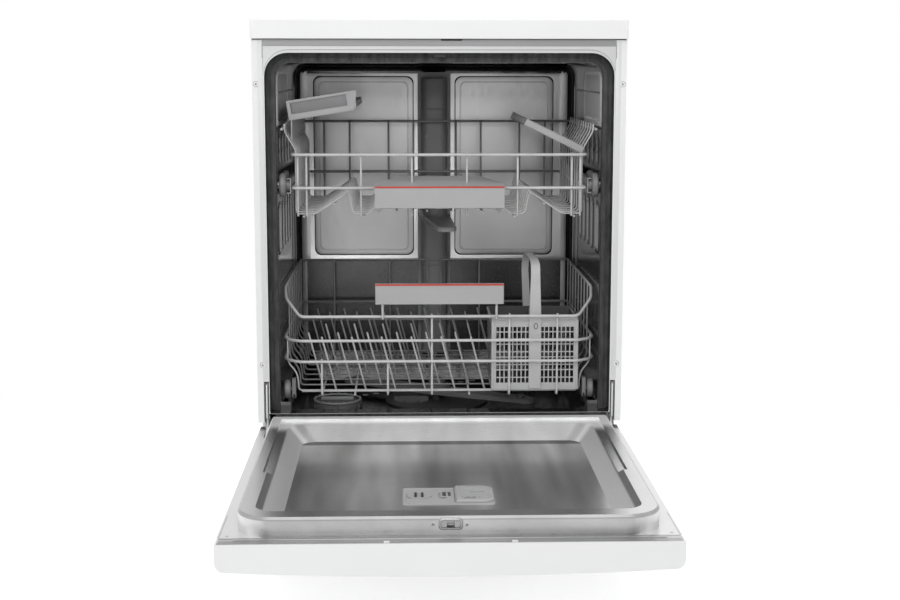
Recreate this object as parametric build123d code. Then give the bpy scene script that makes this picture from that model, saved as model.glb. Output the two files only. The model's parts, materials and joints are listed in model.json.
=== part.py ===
from build123d import *
import math
import os

# Freestanding dishwasher with its drop-down door open and both racks pushed in. Millimetres.
# X runs across, Y from the cabinet's front plane towards the back, Z up from the floor.

# cabinet
height = 845
worktop_side_overhang = 1
worktop_thick = 30
worktop_overhang = 9.5
cabinet_width = 598
cabinet_depth = 560
sheet = 1.0
flange_width = 17.5
flange_foot_z = 192
toe_depth = 75
panel_foot_z = 20
crossbar_height = 10.5
screw_r = 2.2
seat = 0.2
weld_gap = 0.06

# tub
tub_wall = 1.5
tub_back_gap = 82
tub_corner = 24
mouth_margin = 2
mouth_step = 15.5
mouth_head = 11.7
mouth_corner = 37
mouth_depth = 32
lip_z = 206.5
lip_hem = 3.5
lip_sheet = 1
basin_ledge = 16.5
basin_side_slope = 9.5
basin_floor_z = 172
basin_front_y = 68
basin_back_gap = 26
basin_back_slope = 22
centre_y = 255
sump_r = 86
filter_r = 32
filter_x = -46
filter_y = 248
salt_inset = 86
salt_y = 208
salt_neck_r = 35
rib_count = 5
rib_front_y = 98
rib_pitch = 52
rib_width = 11
rib_depth = 1.2
arm_post_r = 8
arm_height = 15.3

# hinge line and door, drawn level
hinge_y = 18.5
hinge_z = 196.5
door_head_gap = 5
door_face_z = 176
door_thick = 34
door_below_hinge = 46.5
fascia_height = 118
fascia_bow = 8
fascia_rise = 36
fascia_wall = 2.5
rim_clear = 3.5
rim_height = 27
rim_front_inset = 27
rim_rear_y = -2
rim_corner = 50
liner_wall = 1.6
recess_inset = 22.5
recess_side_slope = 34.5
recess_front_inset = 29
recess_rear_y = -22
recess_floor_z = 184
recess_front_slope = 14
recess_rear_slope = 77
hinge_inset = 16
hinge_arm_thick = 3
hinge_pin_r = 4
pin_clearance = 0.05

# dispenser and buttons
dispenser_left_x = -61
dispenser_right_x = 64.5
dispenser_inset = 84
dispenser_depth = 78
dispenser_stand = 2.5
lid_left_x = 12
lid_thick = 3.8
button_r = 9
button_stand = 1.5
button_clear = 0.3

# racks
rim_wire_r = 2.5
wire_r = 1.8
rack_front_y = 30.5
upper_back_gap = 48
upper_side_gap = 24.5
upper_top_z = 629.5
upper_mid_z = 575.5
upper_floor_z = 541
upper_comb_top_z = 677
upper_flare = 17.85
upper_pitch = 34
upper_first_y = 52
shelf_front_y = 45
shelf_notch = 20
knuckle_wall = 1.6
upper_rows = 11
roller_r = 10.6
roller_disc_r = 19.8
roller_y = 46.5
roller_gap = 60
rail_z = 567
rail_height = 24.4
rail_sheet = 1.2
rail_depth = 6.5
rail_back_gap = 8
spray_reach = 195
spray_hub_z = 500

lower_side_gap = 6.05
lower_back_gap = 26
lower_top_z = 404
lower_front_z = 363
lower_second_z = 322.5
lower_third_z = 287.5
lower_floor_z = 233.5
lower_corner = 35
lower_rows = 9
lower_pitch = 44
wheel_r = 16
wheel_thick = 10
wheel_z = 235.9
wheel_front_y = 58
wheel_rear_y = 410
wheel_run = 0.3
tine_height = 92
tine_lean = 0.26
tine_pitch = 50
tine_row_depth = 50
basket_left_x = 87
basket_side_gap = 31.5
basket_front_y = 45
basket_back_y = 165
basket_top_z = 359
basket_wall = 2.2
basket_columns = 5
basket_levels = 6
handle_half = 106

foot_r = 22
foot_stem_r = 5
foot_inset = 37
foot_front_y = 112
foot_rear_inset = 65
tray_top_z = 112
tray_back_gap = 25
tray_wall = 3

worktop_z = height - worktop_thick
cabinet_half = cabinet_width / 2
door_reach = worktop_z - door_head_gap - hinge_z - hinge_y
hinge_arm_x = cabinet_half - hinge_inset
mouth_half = cabinet_half - flange_width - mouth_margin
mouth_top_z = worktop_z - crossbar_height - mouth_head
tub_half = mouth_half - mouth_step
tub_back_y = cabinet_depth - tub_back_gap
basin_top_half = tub_half - basin_ledge
basin_floor_half = basin_top_half - basin_side_slope
basin_back_y = tub_back_y - basin_back_gap
salt_x = salt_inset - tub_half
rim_half = mouth_half - rim_clear
rim_front_y = rim_front_inset - door_reach
recess_half = rim_half - recess_inset
recess_floor_half = recess_half - recess_side_slope
recess_front_y = rim_front_y + recess_front_inset
dispenser_front_y = recess_front_y + dispenser_inset
dispenser_rear_y = dispenser_front_y + dispenser_depth
upper_back_y = tub_back_y - upper_back_gap
upper_side_x = tub_half - upper_side_gap
rail_back_y = tub_back_y - rail_back_gap
lower_back_y = tub_back_y - lower_back_gap
basket_right_x = tub_half - basket_side_gap
lower_side_x = tub_half - lower_side_gap
foot_x = cabinet_half - foot_inset
foot_rear_y = cabinet_depth - foot_rear_inset
tray_back_y = cabinet_depth - tray_back_gap
ceiling_z = mouth_top_z - mouth_step
ledge_z = wheel_z - wheel_r - wheel_run
fascia_rear_y = fascia_height - door_reach
door_outer_z = door_face_z - door_thick
door_rear_y = hinge_y + door_below_hinge
rim_top_z = door_face_z + rim_height
centre_shift = (door_reach - cabinet_depth) / 2
comb_x = upper_side_x - rim_wire_r - wire_r - weld_gap
side_wire_x = lower_side_x - rim_wire_r - wire_r - weld_gap
front_wire_y = rack_front_y + rim_wire_r + wire_r + weld_gap
upper_runner_z = upper_floor_z - 2 * wire_r - weld_gap
lower_runner_z = lower_floor_z - 2 * wire_r - weld_gap
roller_z = rail_z + rail_height - rail_sheet - 0.1 - roller_r
rail_inner_x = upper_side_x + rim_wire_r + seat


def block(x0, x1, y0, y1, z0, z1):
    return Pos((x0 + x1) / 2, (y0 + y1) / 2, (z0 + z1) / 2) * Box(x1 - x0, y1 - y0, z1 - z0)


def post(x, y, z0, z1, radius):
    return Pos(x, y, (z0 + z1) / 2) * Cylinder(radius, z1 - z0)


def shaft(x0, x1, y, z, radius):
    return Pos((x0 + x1) / 2, y, z) * Rot(0, 90, 0) * Cylinder(radius, abs(x1 - x0))


def peg(x, y0, y1, z, radius):
    return Pos(x, (y0 + y1) / 2, z) * Rot(90, 0, 0) * Cylinder(radius, abs(y1 - y0))


def mirrored(shape):
    return mirror(shape, Plane.YZ)


def both(shape):
    return [shape, mirrored(shape)]


def upright_plate(outline, x0, x1):
    """A plate cut to a (Y, Z) outline, standing between two X values."""
    face = Face(Wire.make_polygon([Vector(x0, y, z) for y, z in outline]))
    return Solid.extrude(face, Vector(x1 - x0, 0, 0))


def flat_plate(outline, z0, z1):
    face = Face(Wire.make_polygon([Vector(x, y, z0) for x, y in outline]))
    return Solid.extrude(face, Vector(0, 0, z1 - z0))


def bar(points, radius, sides=8, flat=Vector(0, 0, 1)):
    """A drawn wire with mitred bends and flats that its neighbours lie against."""
    spots = [Vector(*p) for p in points]
    runs = [(b - a).normalized() for a, b in zip(spots, spots[1:])]
    if abs(runs[0].dot(flat)) > 0.9:
        flat = Vector(0, 1, 0)
    across = (flat - runs[0] * flat.dot(runs[0])).normalized()
    other = runs[0].cross(across)
    reach = radius / math.cos(math.pi / sides)
    turns = [2 * math.pi * (k + 0.5) / sides for k in range(sides)]
    offsets = [across * (reach * math.cos(t)) + other * (reach * math.sin(t)) for t in turns]
    rings = [[spots[0] + o for o in offsets]]
    for spot, run, following in zip(spots[1:], runs, runs[1:] + runs[-1:]):
        mitre = (run + following).normalized()
        ring = [spot + o - run * (o.dot(mitre) / run.dot(mitre)) for o in offsets]
        rings.append(ring)
        offsets = [(p - spot) - following * (p - spot).dot(following) for p in ring]
    skins = [Face(Wire.make_polygon(rings[0])), Face(Wire.make_polygon(rings[-1]))]
    for near, far in zip(rings, rings[1:]):
        for k in range(sides):
            j = (k + 1) % sides
            skins.append(Face(Wire.make_polygon([near[k], near[j], far[j], far[k]])))
    return Solid(Shell(skins))


def arch(half, top_z, foot_z, corner, y0, y1, foot_corner=6):
    """A block with a rounded top, seen from the front."""
    face = make_face(Polyline((-half, foot_z), (half, foot_z), (half, top_z), (-half, top_z), close=True))
    tops = face.vertices().group_by(Axis.Y)[-1]
    feet = face.vertices().group_by(Axis.Y)[0]
    face = fillet(tops, corner)
    feet = face.vertices().group_by(Axis.Y)[0]
    face = fillet(feet, foot_corner)
    return Pos(0, y1, 0) * Rot(90, 0, 0) * extrude(face, y1 - y0)


def pan(x0, x1, y0, y1, z, corner):
    """A rounded rectangle lying level at height z."""
    middle = Pos((x0 + x1) / 2, (y0 + y1) / 2, z)
    return middle * RectangleRounded(x1 - x0, y1 - y0, corner)


def save(name, shape):
    solids = shape if isinstance(shape, list) else list(shape.solids())
    whole = Compound(solids) if len(solids) > 1 else solids[0]
    whole = Pos(0, centre_shift, 0) * whole
    whole.label = name
    export_step(whole, f"parts/{name}.step")


def worktop():
    half = cabinet_half + worktop_side_overhang
    slab = block(-half, half, -worktop_overhang, cabinet_depth, worktop_z, height)
    slab = fillet(slab.edges().filter_by(Axis.Z), 4)
    slab = chamfer(slab.faces().sort_by(Axis.Z)[-1].edges(), 1.5)
    return slab


def side_panel():
    outer = cabinet_half
    inner = outer - sheet
    front_z = worktop_z - 2
    panel = block(inner, outer, 0, cabinet_depth, flange_foot_z, worktop_z)
    panel += block(inner, outer, toe_depth, cabinet_depth, panel_foot_z, flange_foot_z)
    panel += block(outer - flange_width, outer, 0, sheet, flange_foot_z, front_z)
    panel += block(outer - flange_width, outer, 0, cabinet_depth, worktop_z - sheet, worktop_z)
    panel += block(outer - 13, outer, toe_depth, toe_depth + sheet, panel_foot_z, flange_foot_z)
    panel += block(outer - 15, outer, cabinet_depth - sheet, cabinet_depth, panel_foot_z, worktop_z)
    panel -= block(0, hinge_arm_x + 6, -1, 2, flange_foot_z - 1, flange_foot_z + 68)
    for x, z in screw_spots():
        panel -= peg(x, -1, 3, z, screw_r)
    return panel


def screw_spots():
    return [(cabinet_half - 6.3, 743.5), (cabinet_half - 9, 288.4)]


def front_screws():
    screws = []
    for x, z in screw_spots():
        screw = peg(x, 0.05, 9, z, screw_r - 0.1) + peg(x, -1.6, -0.05, z, 3.8)
        screw += peg(x, -0.06, 0.06, z, screw_r - 0.1)
        screws += both(screw)
    return screws


def rear_panel():
    half = cabinet_half - sheet - seat
    y1 = cabinet_depth - sheet
    panel = block(-half, half, y1 - sheet, y1, tray_top_z, worktop_z - sheet - 0.3)
    for x in (-190, 0, 190):
        panel += block(x - 7, x + 7, y1 - sheet - 3, y1 - sheet, tray_top_z + 60, worktop_z - 80)
    return panel


def front_crossbar():
    top = worktop_z - sheet
    half = cabinet_half - flange_width - seat
    beam = block(-half, half, 0, sheet, top - crossbar_height, top)
    beam += block(-half, half, 0, 30, top - sheet, top)
    beam += block(-cabinet_half + sheet + 1, cabinet_half - sheet - 1, 6, 30, top - sheet, top)
    beam += block(-half, half, 0, 9, top - crossbar_height, top - crossbar_height + sheet)
    beam -= block(3, 36.8, -1, 4, top - 1.5, top + 1)
    return beam


def basin(grow, drop):
    rise = (lip_z - basin_floor_z) / (basin_front_y - mouth_depth - tub_wall)
    top_z = ledge_z
    front_y = basin_front_y - (top_z - basin_floor_z) / rise
    low = pan(-basin_floor_half - grow, basin_floor_half + grow, basin_front_y - grow, basin_back_y + grow,
              basin_floor_z - drop, tub_corner + grow)
    high_y = basin_back_y + basin_back_slope
    high = pan(-basin_top_half - grow, basin_top_half + grow, front_y - grow, high_y + grow,
               top_z + 1 - drop, tub_corner + grow)
    return loft([low, high], ruled=True)


def tub():
    wall = tub_wall
    back = tub_back_y
    top = mouth_top_z + wall
    outer = arch(mouth_half + wall, top, lip_z - wall, mouth_corner + wall, sheet, mouth_depth + wall, 5)
    outside = tub_half + wall
    body = block(-outside, outside, mouth_depth, back + wall, ledge_z - wall, ceiling_z + wall)
    body = fillet(body.edges().filter_by(Axis.Y).group_by(Axis.Z)[-1], tub_corner + wall)
    body = fillet(body.edges().filter_by(Axis.Z).group_by(Axis.Y)[-1], tub_corner + wall)
    hollow = block(-tub_half, tub_half, mouth_depth - 1, back, ledge_z, ceiling_z)
    hollow = fillet(hollow.edges().filter_by(Axis.Y).group_by(Axis.Z)[-1], tub_corner)
    hollow = fillet(hollow.edges().filter_by(Axis.Z).group_by(Axis.Y)[-1], tub_corner)
    mouth = arch(mouth_half, mouth_top_z, lip_z, mouth_corner, -5, mouth_depth, 4)
    frame_half = cabinet_half - flange_width - seat
    frame_top = worktop_z - sheet - crossbar_height - seat
    frame = block(-frame_half, frame_half, 0, sheet + 0.2, lip_z - lip_hem, frame_top)
    slot_top = flange_foot_z + 68
    for slot in both(block(hinge_arm_x - 3, cabinet_half + 1, -1, 2, flange_foot_z - 5, slot_top)):
        frame -= slot
    frame -= block(-mouth_half, mouth_half, -1, sheet, lip_z - lip_hem - 1, lip_z + 8)
    frame += block(-mouth_half, mouth_half, sheet, sheet + lip_sheet, lip_z - lip_hem, lip_z - wall)
    shape = outer + body + basin(wall, wall) + frame
    shape = shape - mouth - hollow - basin(0, 0)
    shape -= post(0, centre_y, basin_floor_z - 10, basin_floor_z + 5, sump_r + 1)
    shape -= post(salt_x, salt_y, basin_floor_z - 10, basin_floor_z + 5, salt_neck_r + 1)
    for x0, x1 in ((-tub_half + 33, -39), (39, tub_half - 33)):
        shape += block(x0, x1, back - 3, back + 0.5, 410, 754)
        shape -= block(x0 + wall, x1 - wall, back - 3 + wall, back + wall + 1, 410 + wall, 754 - wall)
    for side in (-1, 1):
        x = side * tub_half
        low, high = sorted((x + side * 0.5, x - side * rib_depth))
        shape += block(low, high, mouth_depth + 8, back - 78, 725, 731)
        for k in range(rib_count):
            y = rib_front_y + k * rib_pitch
            shape += block(low, high, y, y + rib_width, ledge_z + 30, rail_z - 40)
        for y in (roller_y, roller_y + roller_gap):
            shape -= shaft(x - side * 3, x + side * 5, y, roller_z, 4.2)
    return shape


def tub_gasket():
    grow = mouth_half - tub_half - 1
    front_y = mouth_depth - 6.6
    rear_y = mouth_depth - 0.1
    ring = arch(mouth_half - seat, mouth_top_z - seat, lip_z + 0.3, mouth_corner - seat, front_y, rear_y)
    bore_top = mouth_top_z - grow
    ring -= arch(mouth_half - grow, bore_top, lip_z - 30, mouth_corner - grow, front_y - 1, rear_y + 0.1)
    ring -= block(-mouth_half + grow, mouth_half - grow, front_y - 1, mouth_depth, lip_z - 30, lip_z + 200)
    groove = arch(mouth_half - 5, mouth_top_z - 5, lip_z, mouth_corner - 5, front_y - 1, front_y + 2)
    groove -= arch(mouth_half - 8, mouth_top_z - 8, lip_z - 30, mouth_corner - 8, front_y - 2, front_y + 3)
    return ring - groove


def lip_seal():
    half = mouth_half - 9.5
    foot = block(-half, half, sheet + lip_sheet + seat, 9.5, lip_z - tub_wall - 1.8, lip_z - tub_wall)
    blade = block(-half, half, sheet + lip_sheet + seat, 4, lip_z - tub_wall - 6, lip_z - tub_wall)
    return foot + blade


def feed_channel():
    front_y = tub_back_y - 17
    body = block(-25.5, 25.5, front_y, tub_back_y - seat, ledge_z + seat, ceiling_z - tub_corner - 3)
    body = fillet(body.edges().filter_by(Axis.Z).group_by(Axis.Y)[0], 8)
    body = fillet(body.faces().sort_by(Axis.Y)[0].edges().filter_by(Axis.X).group_by(Axis.Z)[-1], 10)
    z = feed_z()
    body += peg(0, front_y - 8, front_y + 1, z, 17)
    body -= peg(0, front_y - 9, front_y + 8, z, 9)
    return body


def feed_z():
    return upper_runner_z - wire_r - seat - 10


def base_tray():
    x = cabinet_half - sheet - seat
    front = toe_depth + 2
    body = block(-x, x, front, tray_back_y, panel_foot_z, tray_top_z)
    body = fillet(body.edges().filter_by(Axis.Z), 10)
    hollow = block(-x + tray_wall, x - tray_wall, front + tray_wall, tray_back_y - tray_wall,
                   panel_foot_z + tray_wall, tray_top_z + 1)
    body -= fillet(hollow.edges().filter_by(Axis.Z), 7)
    for y in (foot_front_y, foot_rear_y):
        for side in (-1, 1):
            body += post(side * foot_x, y, panel_foot_z + 1, panel_foot_z + 38, 13)
            body -= post(side * foot_x, y, panel_foot_z - 1, panel_foot_z + 30, foot_stem_r + pin_clearance)
    rear_y = cabinet_depth - sheet * 2
    body += block(-x + 2, x - 2, rear_y - 24, rear_y, tray_top_z - 4, tray_top_z)
    body -= peg(230, tray_back_y - 10, tray_back_y + 5, 66, 14)
    body -= peg(-200, tray_back_y - 10, tray_back_y + 5, 84, 11)
    body -= block(-262, -228, tray_back_y - 10, tray_back_y + 5, 44, 68)
    return body


def plinth():
    half = cabinet_half - 1.5
    front = toe_depth - 17
    back = toe_depth - seat
    low = panel_foot_z + 2
    high = tray_top_z + 4
    board = block(-half, half, front, front + 2, low, high)
    board += block(-half, half, front, back, high - 2, high)
    for side in (-1, 1):
        x0, x1 = sorted((side * (half - 14), side * (half - 16)))
        board += block(x0, x1, front, back, low, high)
    return board


def adjustable_foot(x, y):
    pad = Pos(x, y, 5) * Cone(foot_r, foot_r - 5, 10)
    nut = Pos(x, y, 10) * extrude(RegularPolygon(9.5, 6), 6)
    return pad + nut + post(x, y, 5, panel_foot_z + 28, foot_stem_r)


def hinge_brackets():
    x0 = hinge_arm_x + hinge_arm_thick + 1.2
    low = hinge_z - 12
    top = hinge_z + 85
    outline = [(6, low), (30, low), (88, low + 30), (88, top), (6, top)]
    plate = upright_plate(outline, x0, x0 + 2)
    plate += block(x0, cabinet_half - sheet - 0.1, 86, 88, hinge_z + 18, hinge_z + 85)
    plate += block(x0, cabinet_half - sheet - 0.1, 6, 88, hinge_z + 83, hinge_z + 85)
    plate += shaft(hinge_arm_x - 1, x0 + 1, hinge_y, hinge_z, hinge_pin_r)
    plate += shaft(hinge_arm_x - 2.2, hinge_arm_x - 0.7, hinge_y, hinge_z, 6)
    return both(plate)


def hinge_arms():
    x0 = hinge_arm_x
    x1 = x0 + hinge_arm_thick
    neck = [(5, hinge_z + 60), (17, hinge_z + 60), (hinge_y + 9, hinge_z + 8), (hinge_y + 9, hinge_z - 10),
            (46, door_face_z - 4), (46, door_face_z - 26), (-28, door_face_z - 26), (-28, door_face_z - 4),
            (hinge_y - 10, hinge_z - 12), (hinge_y - 11, hinge_z + 8)]
    arm = upright_plate(neck, x0, x1)
    arm -= shaft(x0 - 1, x1 + 1, hinge_y, hinge_z, hinge_pin_r + pin_clearance)
    arm += block(x0, cabinet_half - sheet - 0.1, -28, 46, door_face_z - 26, door_face_z - 24)
    arm -= shaft(x0 - 1, x1 + 1, 11, hinge_z + 53, 2.5)
    return both(arm)


def door_strike():
    plate = block(-16, 16, 8, 22, mouth_top_z - 2.2, mouth_top_z - seat)
    hook = block(-9, 9, 11, 19, mouth_top_z - 7, mouth_top_z - 2)
    return plate + hook - block(-6, 6, 13.5, 16.5, mouth_top_z - 8, mouth_top_z - 3)


def sump():
    z = basin_floor_z
    bowl = post(0, centre_y, z - 66, z - tub_wall - seat, sump_r)
    bowl += post(0, centre_y, z - 3, z + 3, sump_r)
    bowl += post(0, centre_y, z + 0.2, z + 3, sump_r + 7)
    bowl -= post(0, centre_y, z - 62, z - 5, sump_r - 3)
    bowl -= post(filter_x, filter_y, z - 10, z + 5, filter_r + 0.3)
    bowl += post(0, centre_y, z - 64, z + 14, 12)
    bowl += post(0, centre_y, z + 10, z + arm_height + 12.7, arm_post_r - pin_clearance)
    bowl -= post(0, centre_y, z - 30, z + arm_height + 13, 4)
    return bowl


def filter_cup():
    z = basin_floor_z
    cup = post(filter_x, filter_y, z - 52, z + 3.2, filter_r)
    cup -= post(filter_x, filter_y, z - 50, z + 4, filter_r - 2)
    cup += post(filter_x, filter_y, z - 50, z + 1, 14)
    cup -= post(filter_x, filter_y, z - 49, z + 4, 12.5)
    cup += block(filter_x - filter_r + 1, filter_x + filter_r - 1, filter_y - 2, filter_y + 2, z - 6, z + 9)
    for turn in range(12):
        slot = Rot(0, 0, turn * 30) * block(filter_r - 4, filter_r + 1, -4, 4, -44, -12)
        cup -= Pos(filter_x, filter_y, z) * slot
    return cup


def softener():
    z = basin_floor_z - tub_wall
    tank = block(salt_x - 52, salt_x + 56, 108, 330, panel_foot_z + tray_wall + seat, z - 4)
    tank = fillet(tank.edges().filter_by(Axis.Z), 12)
    neck = post(salt_x, salt_y, z - 5, basin_floor_z + 6, salt_neck_r)
    collar = post(salt_x, salt_y, z - 5, z - seat, salt_neck_r + 6)
    return tank + neck + collar - post(salt_x, salt_y, z - 30, basin_floor_z + 10, salt_neck_r - 4)


def salt_cap():
    z = basin_floor_z
    cap = post(salt_x, salt_y, z + seat, z + 9.6, salt_neck_r + 8.5)
    cap = chamfer(cap.edges().filter_by(GeomType.CIRCLE).sort_by(Axis.Z)[-1], 1.6)
    cap -= post(salt_x, salt_y, z, z + 7, salt_neck_r + pin_clearance + 0.2)
    cap += block(salt_x - 30, salt_x + 30, salt_y - 3, salt_y + 3, z + 9, z + 13)
    for turn in range(6):
        notch = Rot(0, 0, turn * 60 + 30) * post(salt_neck_r + 11, 0, z - 1, z + 18, 5)
        notch = Pos(salt_x, salt_y, 0) * notch
        cap -= notch
    return cap


def circulation_pump():
    y = centre_y + 30
    z = 98
    reach = math.sqrt(sump_r ** 2 - 40 ** 2)
    pump = shaft(reach + 26, reach + 66, y, z, 46)
    pump += shaft(reach + 66, reach + 170, y, z, 40)
    pump += shaft(reach - 6, reach + 30, y, z + 22, 14)
    pump += block(reach + 76, reach + 84, y - 30, y + 30, panel_foot_z + tray_wall + seat, z - 20)
    pump += block(reach + 140, reach + 148, y - 30, y + 30, panel_foot_z + tray_wall + seat, z - 20)
    return pump - post(0, centre_y, 20, 200, sump_r + seat)


def drain_pump():
    z = 62
    y = toe_depth + 37
    pump = peg(30, y, y + 50, z, 28) + peg(30, y + 48, y + 74, z, 20)
    pump += block(12, 48, y + 12, y + 38, panel_foot_z + tray_wall + seat, z - 20)
    pump += post(30, y + 62, z, basin_floor_z - 66 - seat, 11)
    return pump


def inlet_valve():
    back = tray_back_y
    valve = peg(230, back - 62, back - tray_wall - seat, 66, 17)
    valve += peg(230, back - 10, back + 18, 66, 13.2) + peg(230, back - 10, back, 66, 13.8)
    valve -= peg(230, back - 4, back + 19, 66, 9)
    valve += block(214, 246, back - 60, back - 30, 70, 96)
    valve += block(222, 238, back - 56, back - 34, panel_foot_z + tray_wall + seat, 70)
    return valve


def drain_spigot():
    back = tray_back_y
    spigot = peg(-200, back - 8, back + 23, 84, 9.5) + peg(-200, back - 7, back - tray_wall - seat, 84, 16)
    spigot += peg(-200, back - 8, back, 84, 10.8)
    return spigot - peg(-200, back - 9, back + 24, 84, 7)


def power_inlet():
    back = tray_back_y
    body = block(-261.7, -228.3, back - 24, back, 44.3, 67.7)
    body += block(-268, -222, back - 6, back - tray_wall - seat, 38, 74)
    body -= block(-257, -233, back - 18, back + 1, 48, 64)
    for x in (-252, -245, -238):
        body += block(x - 1, x + 1, back - 18, back - 4, 54, 58)
    return body


def tub_roller(y):
    wheels = []
    for side in (-1, 1):
        disc_x = tub_half - 13.5
        wheel = shaft(side * (rail_inner_x + rail_sheet + 0.7), side * (disc_x + 0.1), y, roller_z, roller_r)
        disc = shaft(side * disc_x, side * (tub_half - 3), y, roller_z, roller_disc_r)
        disc = chamfer(disc.edges().filter_by(GeomType.CIRCLE), 2.5)
        wheel += disc
        bore = shaft(side * rail_inner_x, side * (tub_half - 1), y, roller_z, 4 + pin_clearance)
        wheels.append(wheel - bore)
    return wheels


def roller_axles():
    axles = []
    for y in (roller_y, roller_y + roller_gap):
        for side in (-1, 1):
            axle = shaft(side * (rail_inner_x + rail_sheet + 0.4), side * (tub_half + 3.5), y, roller_z, 4)
            axle += shaft(side * (tub_half + tub_wall + 0.1), side * (tub_half + 3.5), y, roller_z, 6)
            axle += shaft(side * (tub_half - 2.7), side * (tub_half - 0.1), y, roller_z, 9)
            axles.append(axle)
    return axles


def blade(reach, root_width, tip_width):
    half = root_width / 2
    tip = tip_width / 2
    line = Polyline((0, -half), (reach - tip, -tip))
    line += ThreePointArc((reach - tip, -tip), (reach, 0), (reach - tip, tip))
    line += Polyline((reach - tip, tip), (0, half), (0, -half))
    return make_face(line)


def lower_spray_arm():
    z = basin_floor_z + arm_height
    angle = math.degrees(math.atan2(-100, 172))
    arm = extrude(blade(spray_reach, 52, 30), 8)
    arm += Rot(0, 0, 180) * extrude(blade(spray_reach, 52, 30), 8)
    arm = chamfer(arm.faces().sort_by(Axis.Z)[-1].edges(), 2.5)
    arm += Pos(0, 0, 6) * Cylinder(24, 12)
    arm += Pos(spray_reach - 26, 0, 9.5) * Cylinder(7, 5)
    arm += Pos(26 - spray_reach, 0, 9.5) * Cylinder(7, 5)
    arm = Pos(0, centre_y, z) * Rot(0, 0, angle) * arm
    return arm - post(0, centre_y, z - 1, z + 20, arm_post_r)


def upper_spray_arm():
    arm = extrude(blade(spray_reach, 50, 34), 8)
    arm += Rot(0, 0, 180) * extrude(blade(spray_reach, 50, 34), 8)
    arm = chamfer(arm.faces().sort_by(Axis.Z)[-1].edges(), 2.5)
    arm += Pos(0, 0, 5) * Cylinder(24, 10)
    arm = Pos(0, centre_y, spray_hub_z) * Rot(0, 0, -86) * arm
    return arm - post(0, centre_y, spray_hub_z - 1, spray_hub_z + 20, 6 + pin_clearance)


def feed_pipe():
    z = feed_z()
    end_y = tub_back_y - 17 - 8 - 0.8
    pipe = block(-13, 13, centre_y, end_y - 12, z - 10, z + 10)
    pipe = chamfer(pipe.edges().filter_by(Axis.Y), 4)
    pipe += peg(0, end_y - 14, end_y, z, 15)
    pipe += post(0, centre_y, spray_hub_z + 10.3, z + 10, 20)
    pipe += post(0, centre_y, spray_hub_z - 1.5, spray_hub_z + 11, 6)
    pipe += post(0, centre_y, spray_hub_z - 4, spray_hub_z - 0.3, 9)
    pipe -= peg(0, centre_y + 40, end_y + 1, z, 8)
    return pipe


def side_combs():
    wires = []
    for k in range(upper_rows):
        y = upper_first_y + k * upper_pitch
        line = [(comb_x, y, upper_floor_z - 6.5), (comb_x, y, upper_top_z + 7),
                (comb_x + upper_flare, y, upper_comb_top_z - 10),
                (comb_x + upper_flare, y, upper_comb_top_z + 2)]
        wires += both(bar(line, wire_r, 6, Vector(0, 1, 0)))
    return wires


def upper_rail_x():
    return comb_x + upper_flare + wire_r + rim_wire_r + weld_gap


def upper_rack_frame():
    y = rack_front_y
    side = upper_side_x
    back = upper_back_y
    wires = [bar([(-side + 6, y, upper_top_z), (side - 6, y, upper_top_z)], rim_wire_r)]
    wires += both(bar([(handle_half + 1, y, upper_mid_z), (side - 6, y, upper_mid_z)], rim_wire_r))
    for z in (upper_top_z, upper_mid_z):
        elbow = [(side - 6 + weld_gap, y, z), (side - 2, y + 2, z), (side, y + 8, z), (side, back, z)]
        wires += both(bar(elbow, rim_wire_r))
    for z in (upper_comb_top_z - 7, upper_mid_z):
        end = back + rim_wire_r + weld_gap
        reach = upper_rail_x() if z > upper_top_z else side
        wires.append(bar([(-reach, end, z), (reach, end, z)], rim_wire_r))
    rail = [(upper_rail_x(), 47, upper_comb_top_z - 7), (upper_rail_x(), back, upper_comb_top_z - 7)]
    wires += both(bar(rail, rim_wire_r))
    for x in (side - 8.5, side - 22.7, 128, 45):
        foot = upper_floor_z - 12
        wires += both(bar([(x, front_wire_y, foot), (x, front_wire_y, upper_top_z + 3)], wire_r))
    for x in (208, 160, 87, 40):
        top = upper_comb_top_z - 5
        wires += both(bar([(x, back - wire_r, upper_floor_z - 12), (x, back - wire_r, top)], wire_r))
    return wires + side_combs()


def upper_rack_floor():
    wires = []
    for k in range(upper_rows):
        y = upper_first_y + k * upper_pitch
        low = upper_floor_z - 9
        line = [(-comb_x + wire_r + weld_gap, y, low), (-101, y, low), (-86, y, upper_floor_z),
                (86, y, upper_floor_z), (101, y, low), (comb_x - wire_r - weld_gap, y, low)]
        wires.append(bar(line, wire_r, 6, Vector(0, 1, 0)))
        lean = 2 * wire_r + weld_gap
        peak = [(203, y + lean, low + 1), (151, y + lean, upper_floor_z + 27), (139, y + lean, low + 1)]
        wires += both(bar(peak, wire_r, 6, Vector(0, 1, 0)))
    front = front_wire_y + wire_r + weld_gap
    back = upper_back_y - 2 * wire_r - weld_gap
    for x in (upper_side_x - 17.5, 170, 120):
        z = upper_floor_z - 9 - 2 * wire_r - weld_gap
        wires += both(bar([(x, front, z), (x, back, z)], wire_r))
    for x in (60, 9):
        wires += both(bar([(x, front, upper_runner_z), (x, back, upper_runner_z)], wire_r))
    return wires


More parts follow.
